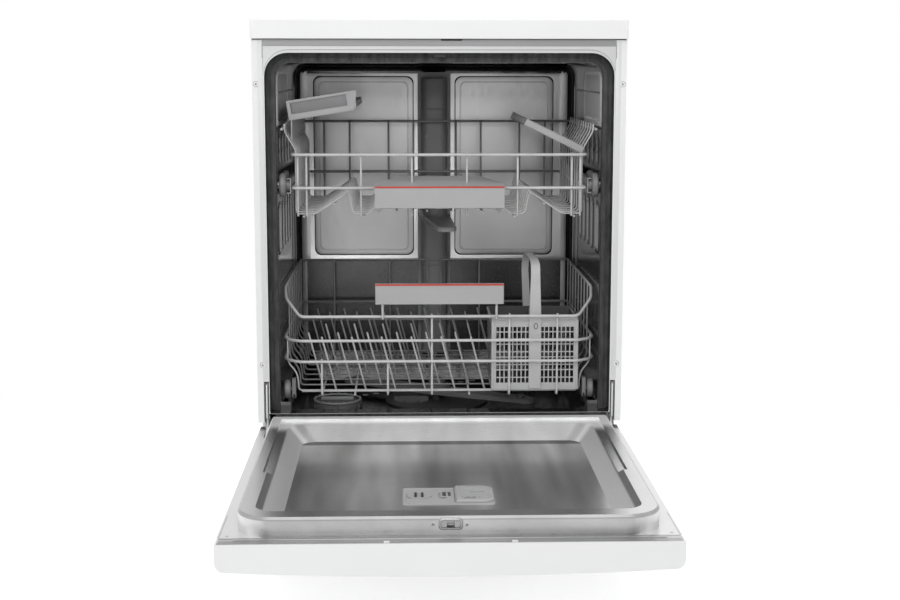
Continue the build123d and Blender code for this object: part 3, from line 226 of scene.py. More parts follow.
paperWhite = (0.885, 0.887, 0.89)
upright = (1, 1, 0.15)
enamel = {"grain": 420, "grainStrength": 0.03, "roughVary": 0.03, "coat": 0.1}
# painted highlight that turns paler from 0.56 m to 0.72 m up
paintedHighlightRise = {"heights": (0.56, 0.72), "colour": (0.86, 0.86, 0.86)}
finishes = {
    "white_laminate": sheet("whiteLaminate", paperWhite, 0.36, 0, 0.01, 9, 1500, roughVary=0.06),
    "white_plastic": sheet("whitePlastic", paperWhite, 0.34, 0, 0.01, 12, 1900, roughVary=0.06),
    "white_steel": sheet("whiteEnamel", (0.865, 0.867, 0.87), 0.3, 0, 0.01, 7, **enamel),
    # a darker copy of the white enamel, as painted shade on the flange's fold
    "foldShadeWhite": sheet("foldedEnamelShade", (0.72, 0.722, 0.726), 0.32, 0, 0.012, 7, **enamel),
    "stainless": sheet("rolledStainless", grey(0.5), 0.26, 1, 0.05, 5, 320, stretch=upright, grainStrength=0.06),
    "backSteel": sheet("backWallSteel", grey(0.44), 0.32, 1, 0.16, 5, slowStretch=(1, 1, 0.5), stretch=upright,
                       grainStrength=0.06),
    # the tub's side walls, basin and roller axles: the back wall's steel darkened, as painted shade
    "tubShadeSteel": sheet("tubWallPaintedShade", grey(0.105), 0.16, 1, 0.2, 7, stretch=upright, grainDepth=0.00002,
                       grainStrength=0.1, roughVary=0.05),
    # painted shade on the ribs' outer slopes and in the rail's slot line
    "ribShadeSteel": sheet("ribAndSlotPaintedShade", grey(0.035), 0.3, 0.6, 0.2, 9),
    # painted shade: the back panels' outline, and the lower back wall, where it is a painted reflection of the dark
    # basin
    "lowerShadeSteel": sheet("panelEdgeAndLowerWallShade", grey(0.1), 0.24, 1, 0.2, 6),
    "frameSteel": sheet("frameSteel", grey(0.56, 0.005), 0.34, 0.4, 0.03, 6),
    # painted highlight on the bands by the tub's rear corners and on the edges of the side walls' pressed fields
    "paintedHighlightSteel": sheet("paintedHighlightFold", grey(0.42), 0.36, 0.35, 0.08, 9, grainDepth=0.000005, grainStrength=0.01,
                        roughVary=0.03, rise=paintedHighlightRise),
    "ribSteel": sheet("ribSteel", grey(0.5), 0.2, 1, 0.3, 9),
    # painted shade on the door's flange sheet below the rim and in thin lines along the door's sides
    "flangeShadeSteel": sheet("flangeShadeSteel", grey(0.24), 0.36, 0.5, 0.08, 20, grainStrength=0.04, roughVary=0.05),
    "sheetSteel": sheet("sheetSteel", grey(0.66), 0.38, 0.25, 0.03, 6, grainStrength=0.04),
    "flangeSteel": sheet("flangeSteel", grey(0.46), 0.34, 0.85, 0.06, 6, stretch=(0.1, 1, 1), grainStrength=0.04,
                         roughVary=0.05),
    "railSteel": sheet("railSteel", grey(0.32), 0.3, 0.9, 0.06, 20, grainStrength=0.04, roughVary=0.05),
    # mid grey: partly the crossbar's own colour and partly the worktop's shadow painted on it; also the pressed line's
    # painted crease shade and the rings round the flange screws
    "greySteelAndShade": sheet("greySteelAndShade", grey(0.305, 0.005), 0.42, 0.3, 0.08, 6, 400, grainStrength=0.04,
                           slowStretch=(0.4, 1, 1), roughVary=0.06),
    "zinc": finish("zincPlate", (0.7, 0.71, 0.73), 0.3, 0.12, 160, 2500, 1),
    "galvanised": finish("galvanisedSteel", (0.48, 0.485, 0.495), 0.42, 0.045, 150, 700, 0.85, roughVary=0.07),
    "wheelPlastic": finish("wheelPlastic", grey(0.2, 0.005), 0.38, 0.08, 40, 1500),
    "channelPlastic": finish("channelPlastic", grey(0.3, 0.003), 0.36, 0.14, 12, 1500, slowStretch=(1, 1, 0.3)),
    "coated_wire": finish("nylonCoatedWire", grey(0.56), 0.32, 0.08, 50, 900, grainDepth=0.00006),
    # the racks' rear wires: the same wire darkened, as painted shade at the back of the rack
    "shadedRearWire": finish("shadedRearWire", grey(0.3), 0.34, 0.08, 50, 900, grainDepth=0.00006),
    "shelfPlastic": finish("shelfPlastic", grey(0.38, 0.004), 0.42, 0.06, 24, 1700),
    # painted shade: the basket's inner faces, the edges of its cuts and the ring on its strap
    "shadedBasketInside": finish("shadedBasketInside", grey(0.07, 0.002), 0.5, 0.1, 24, 1700, grainStrength=0.1),
    "basketPlastic": finish("basketPlastic", grey(0.5, 0.004), 0.42, 0.05, 24, 1700, grainStrength=0.1),
    "latchPlastic": finish("latchPlastic", grey(0.82), 0.4, 0.04, 40, 1700),
    "red": finish("redInlay", (0.52, 0.055, 0.04), 0.4, 0.05, 40, 1800),
    "black_rubber": finish("blackRubber", grey(0.04, 0.002), 0.5, 0.65, 110, 1600, slowStretch=(1, 1, 0.3),
                           specular=0.4),
    "black_plastic": finish("blackPlastic", grey(0.03, 0.002), 0.5, 0.2, 30, 1600),
    "dark_plastic": finish("darkPlastic", grey(0.058, 0.004), 0.42, 0.12, 30, 1800),
    "grey_plastic": finish("greyPlastic", grey(0.16, 0.005), 0.42, 0.08, 30, 1800),
    "mid_grey_plastic": finish("midGreyPlastic", grey(0.2, 0.005), 0.42, 0.08, 26, 1700),
    "light_grey_plastic": finish("lightGreyPlastic", grey(0.4, 0.005), 0.4, 0.06, 24, 1700),
    "handle_plastic": finish("handlePlastic", grey(0.415, 0.004), 0.45, 0.03, 20, 2100),
    "dark_glass": finish("smokedWindow", grey(0.012, 0.002), 0.12, 0.2, 12, 900, roughVary=0.02,
                         grainStrength=0.02, coat=0.5),
    "board_plastic": finish("boardHousing", (0.1, 0.13, 0.11), 0.5, 0.1, 22, 1500),
    "dispenser_plastic": finish("dispenserPlastic", grey(0.43, 0.004), 0.4, 0.05, 30, 1900),
}


def rampOf(tree, source, stops):
    ramp = addNode(tree, "ShaderNodeValToRGB", {0: source})
    for position, level in stops[1:-1]:
        ramp.color_ramp.elements.new(position)
    for element, (position, level) in zip(ramp.color_ramp.elements, stops):
        element.position = position
        element.color = (level, level, level, 1)
    return ramp.outputs["Color"]


# painted light and shade by the way the sheet faces and by the place along the door; places are in metres
linerLightAndShade = {
    "slopeLight": ((0, 0.45), (0.3, 0.45), (0.36, 0.84), (0.44, 0.84), (0.49, 0.42), (0.6, 0.42), (0.7, 0.5)),
    "floor": ((0, 0.2), (0.08, 0.24), (0.16, 0.4), (0.6, 0.41), (0.78, 0.6), (0.965, 0.66), (0.975, 0.3)),
    "floorReach": (-0.55, -0.09), "levelFacing": (0.97, 0.99), "flank": 0.68, "flankFacing": (0.2, 0.4),
    "edge": (0.34, 0.84), "edgeReach": (-0.09, -0.05), "edgeHeights": (0.1975, 0.199),
    "streaks": (0.46, 1.44), "streakHeights": (0.188, 0.196)}


def linerPaintedLight(look):
    # brushed along the door, with light and shade painted into its tone: the rear slope and the side slopes are painted
    # pale as if lit from above, the recess floor darkens toward the front edge as painted shade, and the rim's top is
    # painted dark at the front and pale toward the rear
    material = bpy.data.materials.new("doorLinerPaintedLight")
    tree = newTree(material)
    facing, place = splitOf(tree, "Normal"), splitOf(tree, "Object")
    slopeLight = rampOf(tree, rangeOf(tree, facing["Y"], 0, 1, -1, 1), look["slopeLight"])
    # painted shade: the recess floor is paler toward its rear slope and darkest under the front edge
    floorShade = rampOf(tree, rangeOf(tree, place["Y"], 0, 1, *look["floorReach"]), look["floor"])
    level = rangeOf(tree, facing["Z"], 0, 1, *look["levelFacing"])
    tone = mixOf(tree, level, slopeLight, floorShade)
    # painted light: faces that turn to the side are paler
    flankLight = rangeOf(tree, calc(tree, "ABSOLUTE", facing["X"]), 0, 1, *look["flankFacing"])
    tone = mixOf(tree, flankLight, tone, grey(look["flank"]))
    # painted light and shade on the rim's top: dark at its front, pale toward the rear
    edge = mixOf(tree, rangeOf(tree, place["Y"], 0, 1, *look["edgeReach"]), *map(grey, look["edge"]))
    tone = mixOf(tree, rangeOf(tree, place["Z"], 0, 1, *look["edgeHeights"]), tone, edge)
    streaky = calc(tree, "MINIMUM", level, rangeOf(tree, place["Z"], 1, 0, *look["streakHeights"]))
    streaks = rangeOf(tree, noiseOf(tree, 17, 2.0, (1, 0.1, 1), 0.55), 0, 1)
    cloud = mixOf(tree, rangeOf(tree, streaky, 0.22, 1, 0, 1), tone,
                  mixOf(tree, streaks, *map(grey, look["streaks"])), blend_type="MULTIPLY")
    brushed = noiseOf(tree, 1500, 2.0, (0.04, 1, 1))
    surfaceOf(tree, {
        "Base Color": cloud, "Roughness": rangeOf(tree, brushed, 0.27, 0.33),
        "Normal": bumpFrom(tree, brushed, 0.02, 0.000004), "Metallic": rangeOf(tree, tone, 0.92, 0.22, 0.5, 0.84)})
    return material


finishes["linerPaintedLight"] = linerPaintedLight(linerLightAndShade)
rolling = ("front_rollers", "rear_rollers", "front_wheels", "rear_wheels", "wheel_carriers")
ownFinish = {
    "door_liner": "linerPaintedLight", "door_latch": "latchPlastic", "latch_hook": "light_grey_plastic",
    "roller_axles": "tubShadeSteel", "upper_rack_rails": "railSteel", "door_strike": "black_plastic",
    "lower_spray_arm": "mid_grey_plastic", "salt_cap": "grey_plastic", "sump": "dark_plastic",
    "front_screws": "white_steel", "front_crossbar": "greySteelAndShade", **dict.fromkeys(rolling, "wheelPlastic")}
for entry in frame["record"]["subparts"]:
    mesh = nodes[entry["node"]].data
    mesh.materials.clear()
    mesh.materials.append(finishes[ownFinish.get(entry["node"], entry["material_slot"])])
print("finishes made:", len(finishes))

# ---- mesh helpers


def addPiece(name, shape, body, slots, hides=(), angle=32):
    mesh = bpy.data.meshes.new(name)
    shape.to_mesh(mesh)
    shape.free()
    for slot in slots:
        mesh.materials.append(finishes[slot])
    mesh.shade_smooth()
    mesh.set_sharp_from_angle(angle=math.radians(angle))
    piece = bpy.data.objects.new(name, mesh)
    bpy.context.scene.collection.objects.link(piece)
    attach(piece, body)
    if hides:
        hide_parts(*hides)
    return piece


def roundLoop(x0, x1, z0, z1, low, high=None, steps=6):
    # a rounded rectangle, its lower corners first
    high = low if high is None else high
    corners = ((x0 + low, z0 + low, low, 180), (x1 - low, z0 + low, low, 270),
               (x1 - high, z1 - high, high, 0), (x0 + high, z1 - high, high, 90))
    loop = []
    for cx, cz, r, start in corners:
        for k in range(steps + 1):
            a = math.radians(start + 90 * k / steps)
            loop.append((cx + r * math.cos(a), cz + r * math.sin(a)))
    return loop


def skin(shape, rings, slots=None, cap=False, foot=False):
    # rings of as many points each, joined by quads
    rows = [[shape.verts.new(p) for p in ring] for ring in rings]
    for number, (a, b) in enumerate(zip(rows, rows[1:])):
        for k in range(len(a)):
            face = shape.faces.new((a[k], a[k - 1], b[k - 1], b[k]))
            if slots:
                face.material_index = slots[number]
    if cap:
        face = shape.faces.new(rows[-1])
        if slots:
            face.material_index = slots[-1]
    if foot:
        shape.faces.new(list(reversed(rows[0])))
    return rows


def addFace(shape, spots, slot):
    shape.faces.new([shape.verts.new(spot) for spot in spots]).material_index = slot


def bend(points, radius, steps=5):
    # a polyline in millimetres with its corners rounded
    spots = [at(*p) for p in points]
    path = [spots[0]]
    for before, here, after in zip(spots, spots[1:], spots[2:]):
        a = before - here
        b = after - here
        cut = min(radius / 1000, a.length * 0.48, b.length * 0.48)
        start = here + a.normalized() * cut
        end = here + b.normalized() * cut
        for k in range(steps + 1):
            t = k / steps
            path.append(start * (1 - t) ** 2 + here * 2 * t * (1 - t) + end * t ** 2)
    return path + [spots[-1]]


def circle(count):
    # the cosine and sine of each corner of a regular ring
    return [(math.cos(2 * math.pi * k / count), math.sin(2 * math.pi * k / count)) for k in range(count)]


def addWire(shape, points, radius, turn=6, sides=8, slot=0):
    # a round wire with bent corners and slightly domed ends
    path = bend(points, turn)
    r = radius / 1000
    forward = (path[1] - path[0]).normalized()
    across = forward.orthogonal().normalized()
    rings = []
    for k, spot in enumerate(path):
        ahead = (path[min(k + 1, len(path) - 1)] - path[max(k - 1, 0)]).normalized()
        across = (across - ahead * across.dot(ahead)).normalized()
        other = ahead.cross(across)
        scales = [(0, 1)]
        if k == 0:
            scales = [(0, 0.6), (0.45, 1)]
        if k == len(path) - 1:
            scales = [(-0.45, 1), (0, 0.6)]
        for shift, scale in scales:
            centre = spot + ahead * r * shift
            rings.append([centre + (across * c + other * d) * r * scale for c, d in circle(sides)])
    skin(shape, rings, slots=[slot] * len(rings), cap=True, foot=True)


def mirrored(points):
    return [(-x, y, z) for x, y, z in points]


def addPair(shape, points, *how, **more):
    # a wire and its mirror image
    addWire(shape, points, *how, **more)
    addWire(shape, mirrored(points), *how, **more)


def softBlock(shape, x0, x1, y0, y1, z0, z1, edge=0.8, slot=0, side=1, place=at):
    # a block with rounded edges, sizes in millimetres, on the left where side is -1
    x0, x1 = sorted((side * x0, side * x1))
    made = bmesh.ops.create_cube(shape, size=1)["verts"]
    for vert in made:
        spans = ((x0, x1, vert.co.x), (y0, y1, vert.co.y), (z0, z1, vert.co.z))
        vert.co = place(*(low + (high - low) * (part + 0.5) for low, high, part in spans))
    edges = list({e for v in made for e in v.link_edges})
    for face in {f for v in made for f in v.link_faces}:
        face.material_index = slot
    bmesh.ops.bevel(shape, geom=edges, offset=edge / 1000, segments=2, profile=0.6, affect="EDGES")


# ---- tub

tubForm = {"mouthHalf": 279.5, "mouthTop": 792.8, "lip": 206.5, "half": 264, "ceiling": 777.3, "ledge": 219.6,
           "shoulder": 32, "back": 478, "corner": 24, "floor": 172, "frameHalf": 281.2, "frameTop": 803.2,
           "lowCorner": 4, "mouthCorner": 37, "cornerSteps": 7, "basinHalf": 247.5, "basinReach": (33.5, 474),
           "basinFloor": (-238, 238, 68, 452), "sumpR": 87, "sumpY": 255}


def mouthLoop(t):
    return roundLoop(-t["mouthHalf"], t["mouthHalf"], t["lip"], t["mouthTop"], t["lowCorner"], t["mouthCorner"], 8)


def makeTubShell(t):
    shape = bmesh.new()
    low, corner = t["lowCorner"], t["corner"]
    rings = [[at(x, y, z) for x, z in mouthLoop(t)] for y in (0, t["shoulder"])]
    inner = roundLoop(-t["half"], t["half"], t["ledge"], t["ceiling"], low, corner, 8)
    rings.append([at(x, t["shoulder"], z) for x, z in inner])
    for k in range(t["cornerSteps"] + 1):
        a = math.radians(90 * k / t["cornerSteps"])
        inset = corner * (1 - math.cos(a))
        loop = roundLoop(inset - t["half"], t["half"] - inset, t["ledge"], t["ceiling"] - inset, low,
                         max(2, corner - inset), 8)
        rings.append([at(x, t["back"] - corner + corner * math.sin(a), z) for x, z in loop])
    # the shoulder, side walls, ceiling and basin take the darkened steel as painted shade; two bands by the back wall
    # take the painted highlight
    skin(shape, rings, slots=[1] * 7 + [3, 3, 0, 0], cap=True)
    shape.normal_update()
    # faces of those bands that face up or down go back to the darkened steel, so the painted highlight stays on the
    # upright bands
    for face in shape.faces:
        if face.material_index == 3 and abs(face.normal.z) > 0.3:
            face.material_index = 1
    # the ledge is open over the basin
    ledge = at(0, 20, t["ledge"] + 0.1)
    spare = [f for f in shape.faces if f.calc_center_median().z < ledge.z and f.calc_center_median().y > ledge.y
             and max(v.co.x for v in f.verts) > 0.2 > -0.2 > min(v.co.x for v in f.verts)]
    bmesh.ops.delete(shape, geom=spare, context="FACES_ONLY")
    half = t["basinHalf"]
    for side in (-1, 1):
        spots = ((half, t["lip"]), (275, t["lip"]), (260, t["ledge"]), (half, t["ledge"]))
        addFace(shape, [at(side * x, t["shoulder"], z) for x, z in spots], 1)
    basin = roundLoop(-half, half, *t["basinReach"], corner, corner, 6)
    edgeLoop = roundLoop(-t["half"], t["half"], t["shoulder"], t["back"], 1, 1, 6)
    heights = [t["lip"] if y < 60 else t["ledge"] for x, y in basin]
    rings = [[at(x, y, z) for (x, y), z in zip(loop, heights)] for loop in (edgeLoop, basin)]
    rings.append([at(x, y, t["floor"]) for x, y in roundLoop(*t["basinFloor"], corner, corner, 6)])
    foot = skin(shape, rings, slots=[2, 2, 2])[-1]
    r = t["sumpR"]
    sump = [shape.verts.new(at(r * c, t["sumpY"] + r * s, t["floor"])) for c, s in circle(40)]
    hole = [shape.edges.new((sump[k], sump[k - 1])) for k in range(len(sump))]
    rim = [shape.edges.get((foot[k], foot[k - 1])) for k in range(len(foot))]
    for face in bmesh.ops.triangle_fill(shape, edges=hole + rim, use_beauty=True)["geom"]:
        if isinstance(face, bmesh.types.BMFace):
            face.material_index = 2
    middle = at(0, 200, 480)
    shape.normal_update()
    for face in shape.faces:
        if face.normal.dot(middle - face.calc_center_median()) < 0:
            face.normal_flip()
    addPiece("tubShell", shape, "cabinet", ("backSteel", "tubShadeSteel", "tubShadeSteel", "paintedHighlightSteel"), hides=("tub",))


def makeMouthFrame(t):
    # the folded frame round the mouth: its outer edge is square where the mouth's corner is round
    shape = bmesh.new()
    loop = mouthLoop(t)
    corner = t["mouthCorner"]
    middleX, middleZ = t["mouthHalf"] - corner, t["mouthTop"] - corner
    outer = []
    for x, z in loop:
        if z > middleZ - 0.01 and abs(x) > middleX - 0.01:
            across, up = (abs(x) - middleX) / corner, (z - middleZ) / corner
            most = max(across, up)
            x = math.copysign(middleX + (t["frameHalf"] - middleX) * across / most, x)
            z = middleZ + (t["frameTop"] - middleZ) * up / most
        elif z < t["lip"] + 5:
            x = math.copysign(min(t["frameHalf"], abs(x) + 2), x)
            z = z + 0.4 if abs(x) > t["mouthHalf"] - 3 else z - 3
        outer.append((x, z))
    rings = [[at(x, 1.4, z) for x, z in outer], [at(x, 0.1, z) for x, z in outer], [at(x, 0.1, z) for x, z in loop]]
    skin(shape, rings)
    for face in shape.faces:
        middle = face.calc_center_median()
        if abs(middle.x) > at(278, 0, 0).x and middle.z < at(0, 0, 764).z:
            face.material_index = 1
    # the pressed line that follows its upper corners, in the darker grey as painted shade along the crease
    rings = [[at(x, 0.04, z) for x, z in roundLoop(-half, half, 700, high, 1, bow, 8)]
             for half, high, bow in ((280.1, 796.9, 38.6), (280.5, 798.2, 39.4))]
    skin(shape, rings, slots=[2, 2])
    spare = [f for f in shape.faces if f.material_index == 2 and f.calc_center_median().z < at(0, 0, 762).z]
    bmesh.ops.delete(shape, geom=spare, context="FACES")
    addPiece("mouthFrame", shape, "cabinet", ("frameSteel", "white_steel", "greySteelAndShade"))


def makeBackWall(t):
    # pressed panels, their outline in the dark steel as painted shade in the crease, and the recess behind the feed
    # channel
    shape = bmesh.new()
    back = t["back"]
    steps = ((0, 0.2, 1), (1.1, -1.4, 1), (1.9, -2.2, 0), (3, -2.4, 0), (10.2, -2.4, 0), (10.8, -1.7, 0),
             (11.8, -1.7, 0), (12.4, -2.4, 0))
    for x0, x1 in ((-231, -39), (39, 229)):
        rings = [[at(x, back + y, z) for x, z in roundLoop(x0 + i, x1 - i, 410 + i, 754 - i, 13 - i * 0.3)]
                 for i, y, slot in steps]
        skin(shape, rings, slots=[slot for i, y, slot in steps[:-1]] + [0], cap=True)
    # below the panels the wall is polished, and its colour is darkened as a painted reflection of the dark basin
    rings = [[at(x, back - y, z) for x, z in roundLoop(i - 256, 256 - i, 216, 402 - i, 2, 12)]
             for i, y in ((0, 0.05), (1.5, 0.7), (4, 0.9))]
    skin(shape, rings, slots=[0, 1, 1], cap=True)
    recess = [[at(x, back - y, z) for x, z in roundLoop(-31.5 + i, 31.5 - i, 222, 776 - i, 3)]
              for i, y in ((0, 0.95), (0.6, 1.6), (3, 1.4))]
    skin(shape, recess, slots=[2, 2, 2], cap=True)
    addPiece("backWallPanels", shape, "cabinet", ("backSteel", "lowerShadeSteel", "channelPlastic"))


def makeSideWalls(t):
    # short ribs, a tall one at the back, a pressed field above them and the rail's slot line; the ribs' outer slopes
    # and the slot line are painted shade, and the field's edge is a painted highlight
    shape = bmesh.new()
    half = t["half"]
    for side in (-1, 1):
        spots = [(y, 462 - (y > 300) * 120, 552, 38) for y in (2, 58, 114, 170, 226, 282, 338)]
        spots += [(y, 604, 664, 30) for y in (60, 120, 180, 240, 300, 360)] + [(404, 240, 745, 30)]
        for y, z0, z1, width in spots:
            y = max(y, 36)
            rings = [[at(side * (half - 1.9 * (1 - (1 - i / 15) ** 2) + 0.05), a, b)
                      for a, b in roundLoop(y + i, y + width - i, z0 + i, z1 - i, max(0.4, 15 - i))]
                     for i in (0, 3, 6.5, 11, min(14.6, width / 2 - 0.4))]
            skin(shape, rings, slots=[1, 1, 0, 2, 0], cap=True)
        rings = [[at(side * (half - d), a, b) for a, b in roundLoop(34 + i, 266 - i, 674 + i, 771 - i, 8, 36 - i)]
                 for i, d in ((0, -0.05), (4, 1.8), (9, 2), (12, 1.3), (15, 1.2))]
        skin(shape, rings, slots=[3, 3, 0, 2, 2], cap=True)
        softBlock(shape, half - 2.3, half + 0.4, 44, 372, 727.4, 730.6, 0.5, 1, side)
    addPiece("sideWallRibs", shape, "cabinet", ("ribSteel", "ribShadeSteel", "frameSteel", "paintedHighlightSteel"))


makeTubShell(tubForm)
makeMouthFrame(tubForm)
makeBackWall(tubForm)
makeSideWalls(tubForm)


feedForm = {"half": ((25.4, 477.6), (24.6, 466), (22.6, 459.4), (18.6, 455.4), (13.4, 453.4), (4.6, 453.2)),
            "foot": ((219.9, 2), (221.4, 0.4), (223, 0)), "head": ((746, 0), (749, 1), (750.2, 3)),
            "seams": (394, 562, 692), "seam": ((-2, 0), (-1, 0.7), (1, 0.7), (2, 0)),
            "screws": (300, 480, 640), "screwX": 14, "screwY": 453.3,
            "screw": ((3.6, 0), (3.6, 0.5), (3, 0.8), (1.6, 0.8), (1.5, 0.1))}


def makeFeedChannel(f):
    # the water channel up the back wall: a moulded cover with rounded shoulders and three seams
    shape = bmesh.new()
    profile = [*f["half"], *((-x, y) for x, y in reversed(f["half"]))]
    seams = [(z + rise, inset) for z in f["seams"] for rise, inset in f["seam"]]
    rings = [[at(x * (1 - inset / 26), min(477.6, y + inset), z) for x, y in profile]
             for z, inset in (*f["foot"], *seams, *f["head"])]
    skin(shape, rings, cap=True, foot=True)
    for z in f["screws"]:
        for x in (-f["screwX"], f["screwX"]):
            skin(shape, [[at(x + r * c, f["screwY"] - d, z + r * s) for c, s in circle(14)] for r, d in f["screw"]],
                 cap=True)
    addPiece("feedChannelCover", shape, "cabinet", ("channelPlastic",), hides=("feed_channel",))


makeFeedChannel(feedForm)
print("tub made")

# ---- racks

upperRack = {"front": 30.5, "side": 239.5, "back": 430, "top": 629.5, "middle": 575.5, "floor": 541, "low": 531.7,
             "comb": 235.14, "flare": 252.99, "rail": 257.35, "rise": 40.5, "handle": 107, "rimR": 2.5, "wireR": 1.8,
             "hoopR": 1.4, "rows": 11, "first": 52, "pitch": 34, "besideRim": 4.36, "behindRim": 2.56, "below": 3.66}


def makeUpperRack(r):
    shape = bmesh.new()
    front, side, back, top, middle, floor, low = (
        r[k] for k in ("front", "side", "back", "top", "middle", "floor", "low"))
    thick, wire, below = r["rimR"], r["wireR"], r["below"]
    upright = front + r["besideRim"]
    behind = back + r["behindRim"]
    rail = top + r["rise"]
    # the top rim runs round three sides, the middle wire stops at the handle
    addWire(shape, [(-side, back, top), (-side, front, top), (side, front, top), (side, back, top)], thick, 9)
    addPair(shape, [(r["handle"], front, middle), (side, front, middle), (side, back, middle)], thick, 9)
    # the wires along the back take the darkened wire, as painted shade
    for z, reach in ((rail, r["rail"]), (middle, side)):
        addWire(shape, [(-reach, behind, z), (reach, behind, z)], thick, slot=1)
    addPair(shape, [(r["rail"], 47, rail), (r["rail"], back, rail)], thick)
    for x in (231, 216.8, 128, 45):
        addPair(shape, [(x, upright, floor - 12), (x, upright, top + 3)], wire)
    # the back uprights take the darkened wire, as painted shade
    for x in (208, 160, 87, 40):
        addPair(shape, [(x, back - wire, floor - 12), (x, back - wire, rail + 2)], wire, slot=1)
    # each hoop comes down from the comb, dips under the cups, peaks between them and crosses the middle
    half = [(r["flare"], 679), (r["flare"], 667), (r["comb"], 636.5), (r["comb"], low), (203, low), (149, 568),
            (141, low), (115, low), (107, 543), (99, low), (94, floor), (57, floor), (51, 551), (45, floor)]
    for k in range(r["rows"]):
        line = [(x, r["first"] + k * r["pitch"], z) for x, z in half]
        addWire(shape, line + mirrored(line[::-1]), r["hoopR"], 7)
    for x, z in ((222, low - below), (172, 549), (124, low - below), (70, floor - below), (20, floor - below)):
        addPair(shape, [(x, upright + below, z), (x, back - below, z)], wire)
    addPiece("upperRackWires", shape, "upper_rack", ("coated_wire", "shadedRearWire"),
             hides=("upper_rack_frame", "upper_rack_floor"), angle=50)


makeUpperRack(upperRack)

lowerRack = {"front": 30.5, "side": 257.95, "back": 452, "top": 404, "frontTop": 363, "second": 322.5, "third": 287.5,
             "floor": 233.5, "rimR": 2.5, "wireR": 1.8, "hoopR": 1.4, "rows": 9, "first": 59.8, "pitch": 44,
             "tine": 92, "tineR": 1.6, "lean": 0.26, "besideRim": 4.36, "behindRim": 2.56, "below": 3.66}


def makeLowerRack(r):
    shape = bmesh.new()
    front, side, back, top, frontTop, floor = (r[k] for k in ("front", "side", "back", "top", "frontTop", "floor"))
    thick, wire, below = r["rimR"], r["wireR"], r["below"]
    inner = side - 28
    upright = front + r["besideRim"]
    behind = back + r["behindRim"]
    for z in (r["second"], r["third"]):
        line = [(-side, back, z), (-side, front + 35, z), (-side + 10, front + 14, z), (-inner, front, z)]
        addWire(shape, line + mirrored(line[::-1]), thick, 8)
    line = [(side, back, top), (side, front + 62, top), (side - 3, front + 35, frontTop + 25), (inner, front, frontTop)]
    addWire(shape, line + mirrored(line[::-1]), thick, 9)
    # the wires along the back take the darkened wire, as painted shade
    for z in (top, r["second"], r["third"]):
        addWire(shape, [(-side, behind, z), (side, behind, z)], thick, slot=1)
    runner = floor - below
    rear = back - wire
    # five bent wires run from the front rails under the floor and up the back
    for xs, high in (((-195.5, -86), r["third"]), ((-12.6, 116.3, 196), frontTop)):
        for x in xs:
            line = [(x, upright, high + 4), (x, upright, runner), (x, rear, runner), (x, rear, runner + 12)]
            addWire(shape, line, wire, 5)
    for x in (-141, 50):
        addWire(shape, [(x, upright + below, runner), (x, back - 3.7, runner)], wire)
    # the back uprights take the darkened wire, as painted shade
    for x in (193, 86, 12.6):
        addPair(shape, [(x, rear, runner - 3), (x, rear, top + 3)], wire, slot=1)
    # the two posts that carry the handle
    for x in (-94, 94):
        addWire(shape, [(x, front - 4.56, frontTop - 4), (x, front - 4.56, frontTop + 48)], 2)
    wall = side - r["besideRim"]
    foot = side - 21.95
    # every hoop but the front one takes the darkened wire, as painted shade
    for k in range(r["rows"]):
        y = r["first"] + k * r["pitch"]
        high = top + 3 if y > front + 66 else r["second"] + 4
        half = [(wall, y, high), (wall, y, 282), (foot + 3, y, 264), (foot, y, 247), (foot, y, floor)]
        addWire(shape, half + mirrored(half[::-1]), r["hoopR"], 8, slot=int(k > 0))
    # leaning tines, in rows that are set off from each other by turns
    low = floor - wire
    # the rear rows of tines take the darkened wire, as painted shade
    for row, hoop in enumerate((0, 1, 3, 4, 6, 7)):
        y = r["first"] + hoop * r["pitch"] + below
        for k in range(6 if hoop < 3 else 8):
            x = (-198 if row % 2 else -173) + k * 50
            line = [(x, y, low), (x - r["lean"] * r["tine"], y, low + r["tine"])]
            addWire(shape, line, r["tineR"], slot=int(row > 2))
    # the doubled wire along the floor's front edge
    addWire(shape, [(6 - foot, 52, floor + 0.1), (foot - 6, 52, floor + 0.1)], wire)
    addPiece("lowerRackWires", shape, "lower_rack", ("coated_wire", "shadedRearWire"),
             hides=("lower_rack_frame", "lower_rack_floor"), angle=50)


makeLowerRack(lowerRack)
print("racks made")

# ---- handles, shelves and basket


handleStrips = {"upperHandleInlay": ("upper_rack", 105.2, 14.5, 17.4, 576.2, 579.3),
                "lowerHandleInlay": ("lower_rack", 105.6, 19.5, 24, 415.6, 418.5)}


def makeHandleStrips(strips):
    for name, (body, half, *sizes) in strips.items():
        shape = bmesh.new()
        softBlock(shape, -half, half, *sizes, 0.6)
        addPiece(name, shape, body, ("red",))


makeHandleStrips(handleStrips)

basketForm = {"left": 87, "right": 232.5, "front": 45, "back": 165, "low": 235.6, "top": 359, "wall": 2.2, "columns": 8,
              "rows": (8, 11, 7, 11, 7, 11, 7, 10, 7.5), "gap": 1.9, "deepColumns": 9, "floorCell": 6, "floorGap": 2.1,
              "strapWidths": (10.3, 10.3, 7.8, 7.8, 7.6, 7.2, 6.8, 6.4, 6.2, 6, 6, 6, 7, 8),
              "strapDrift": (0, 0, 0, 0, 0, -0.6, -1.8, -4.6, -6.4, -7.4, -7.8, -8, -4, 0)}


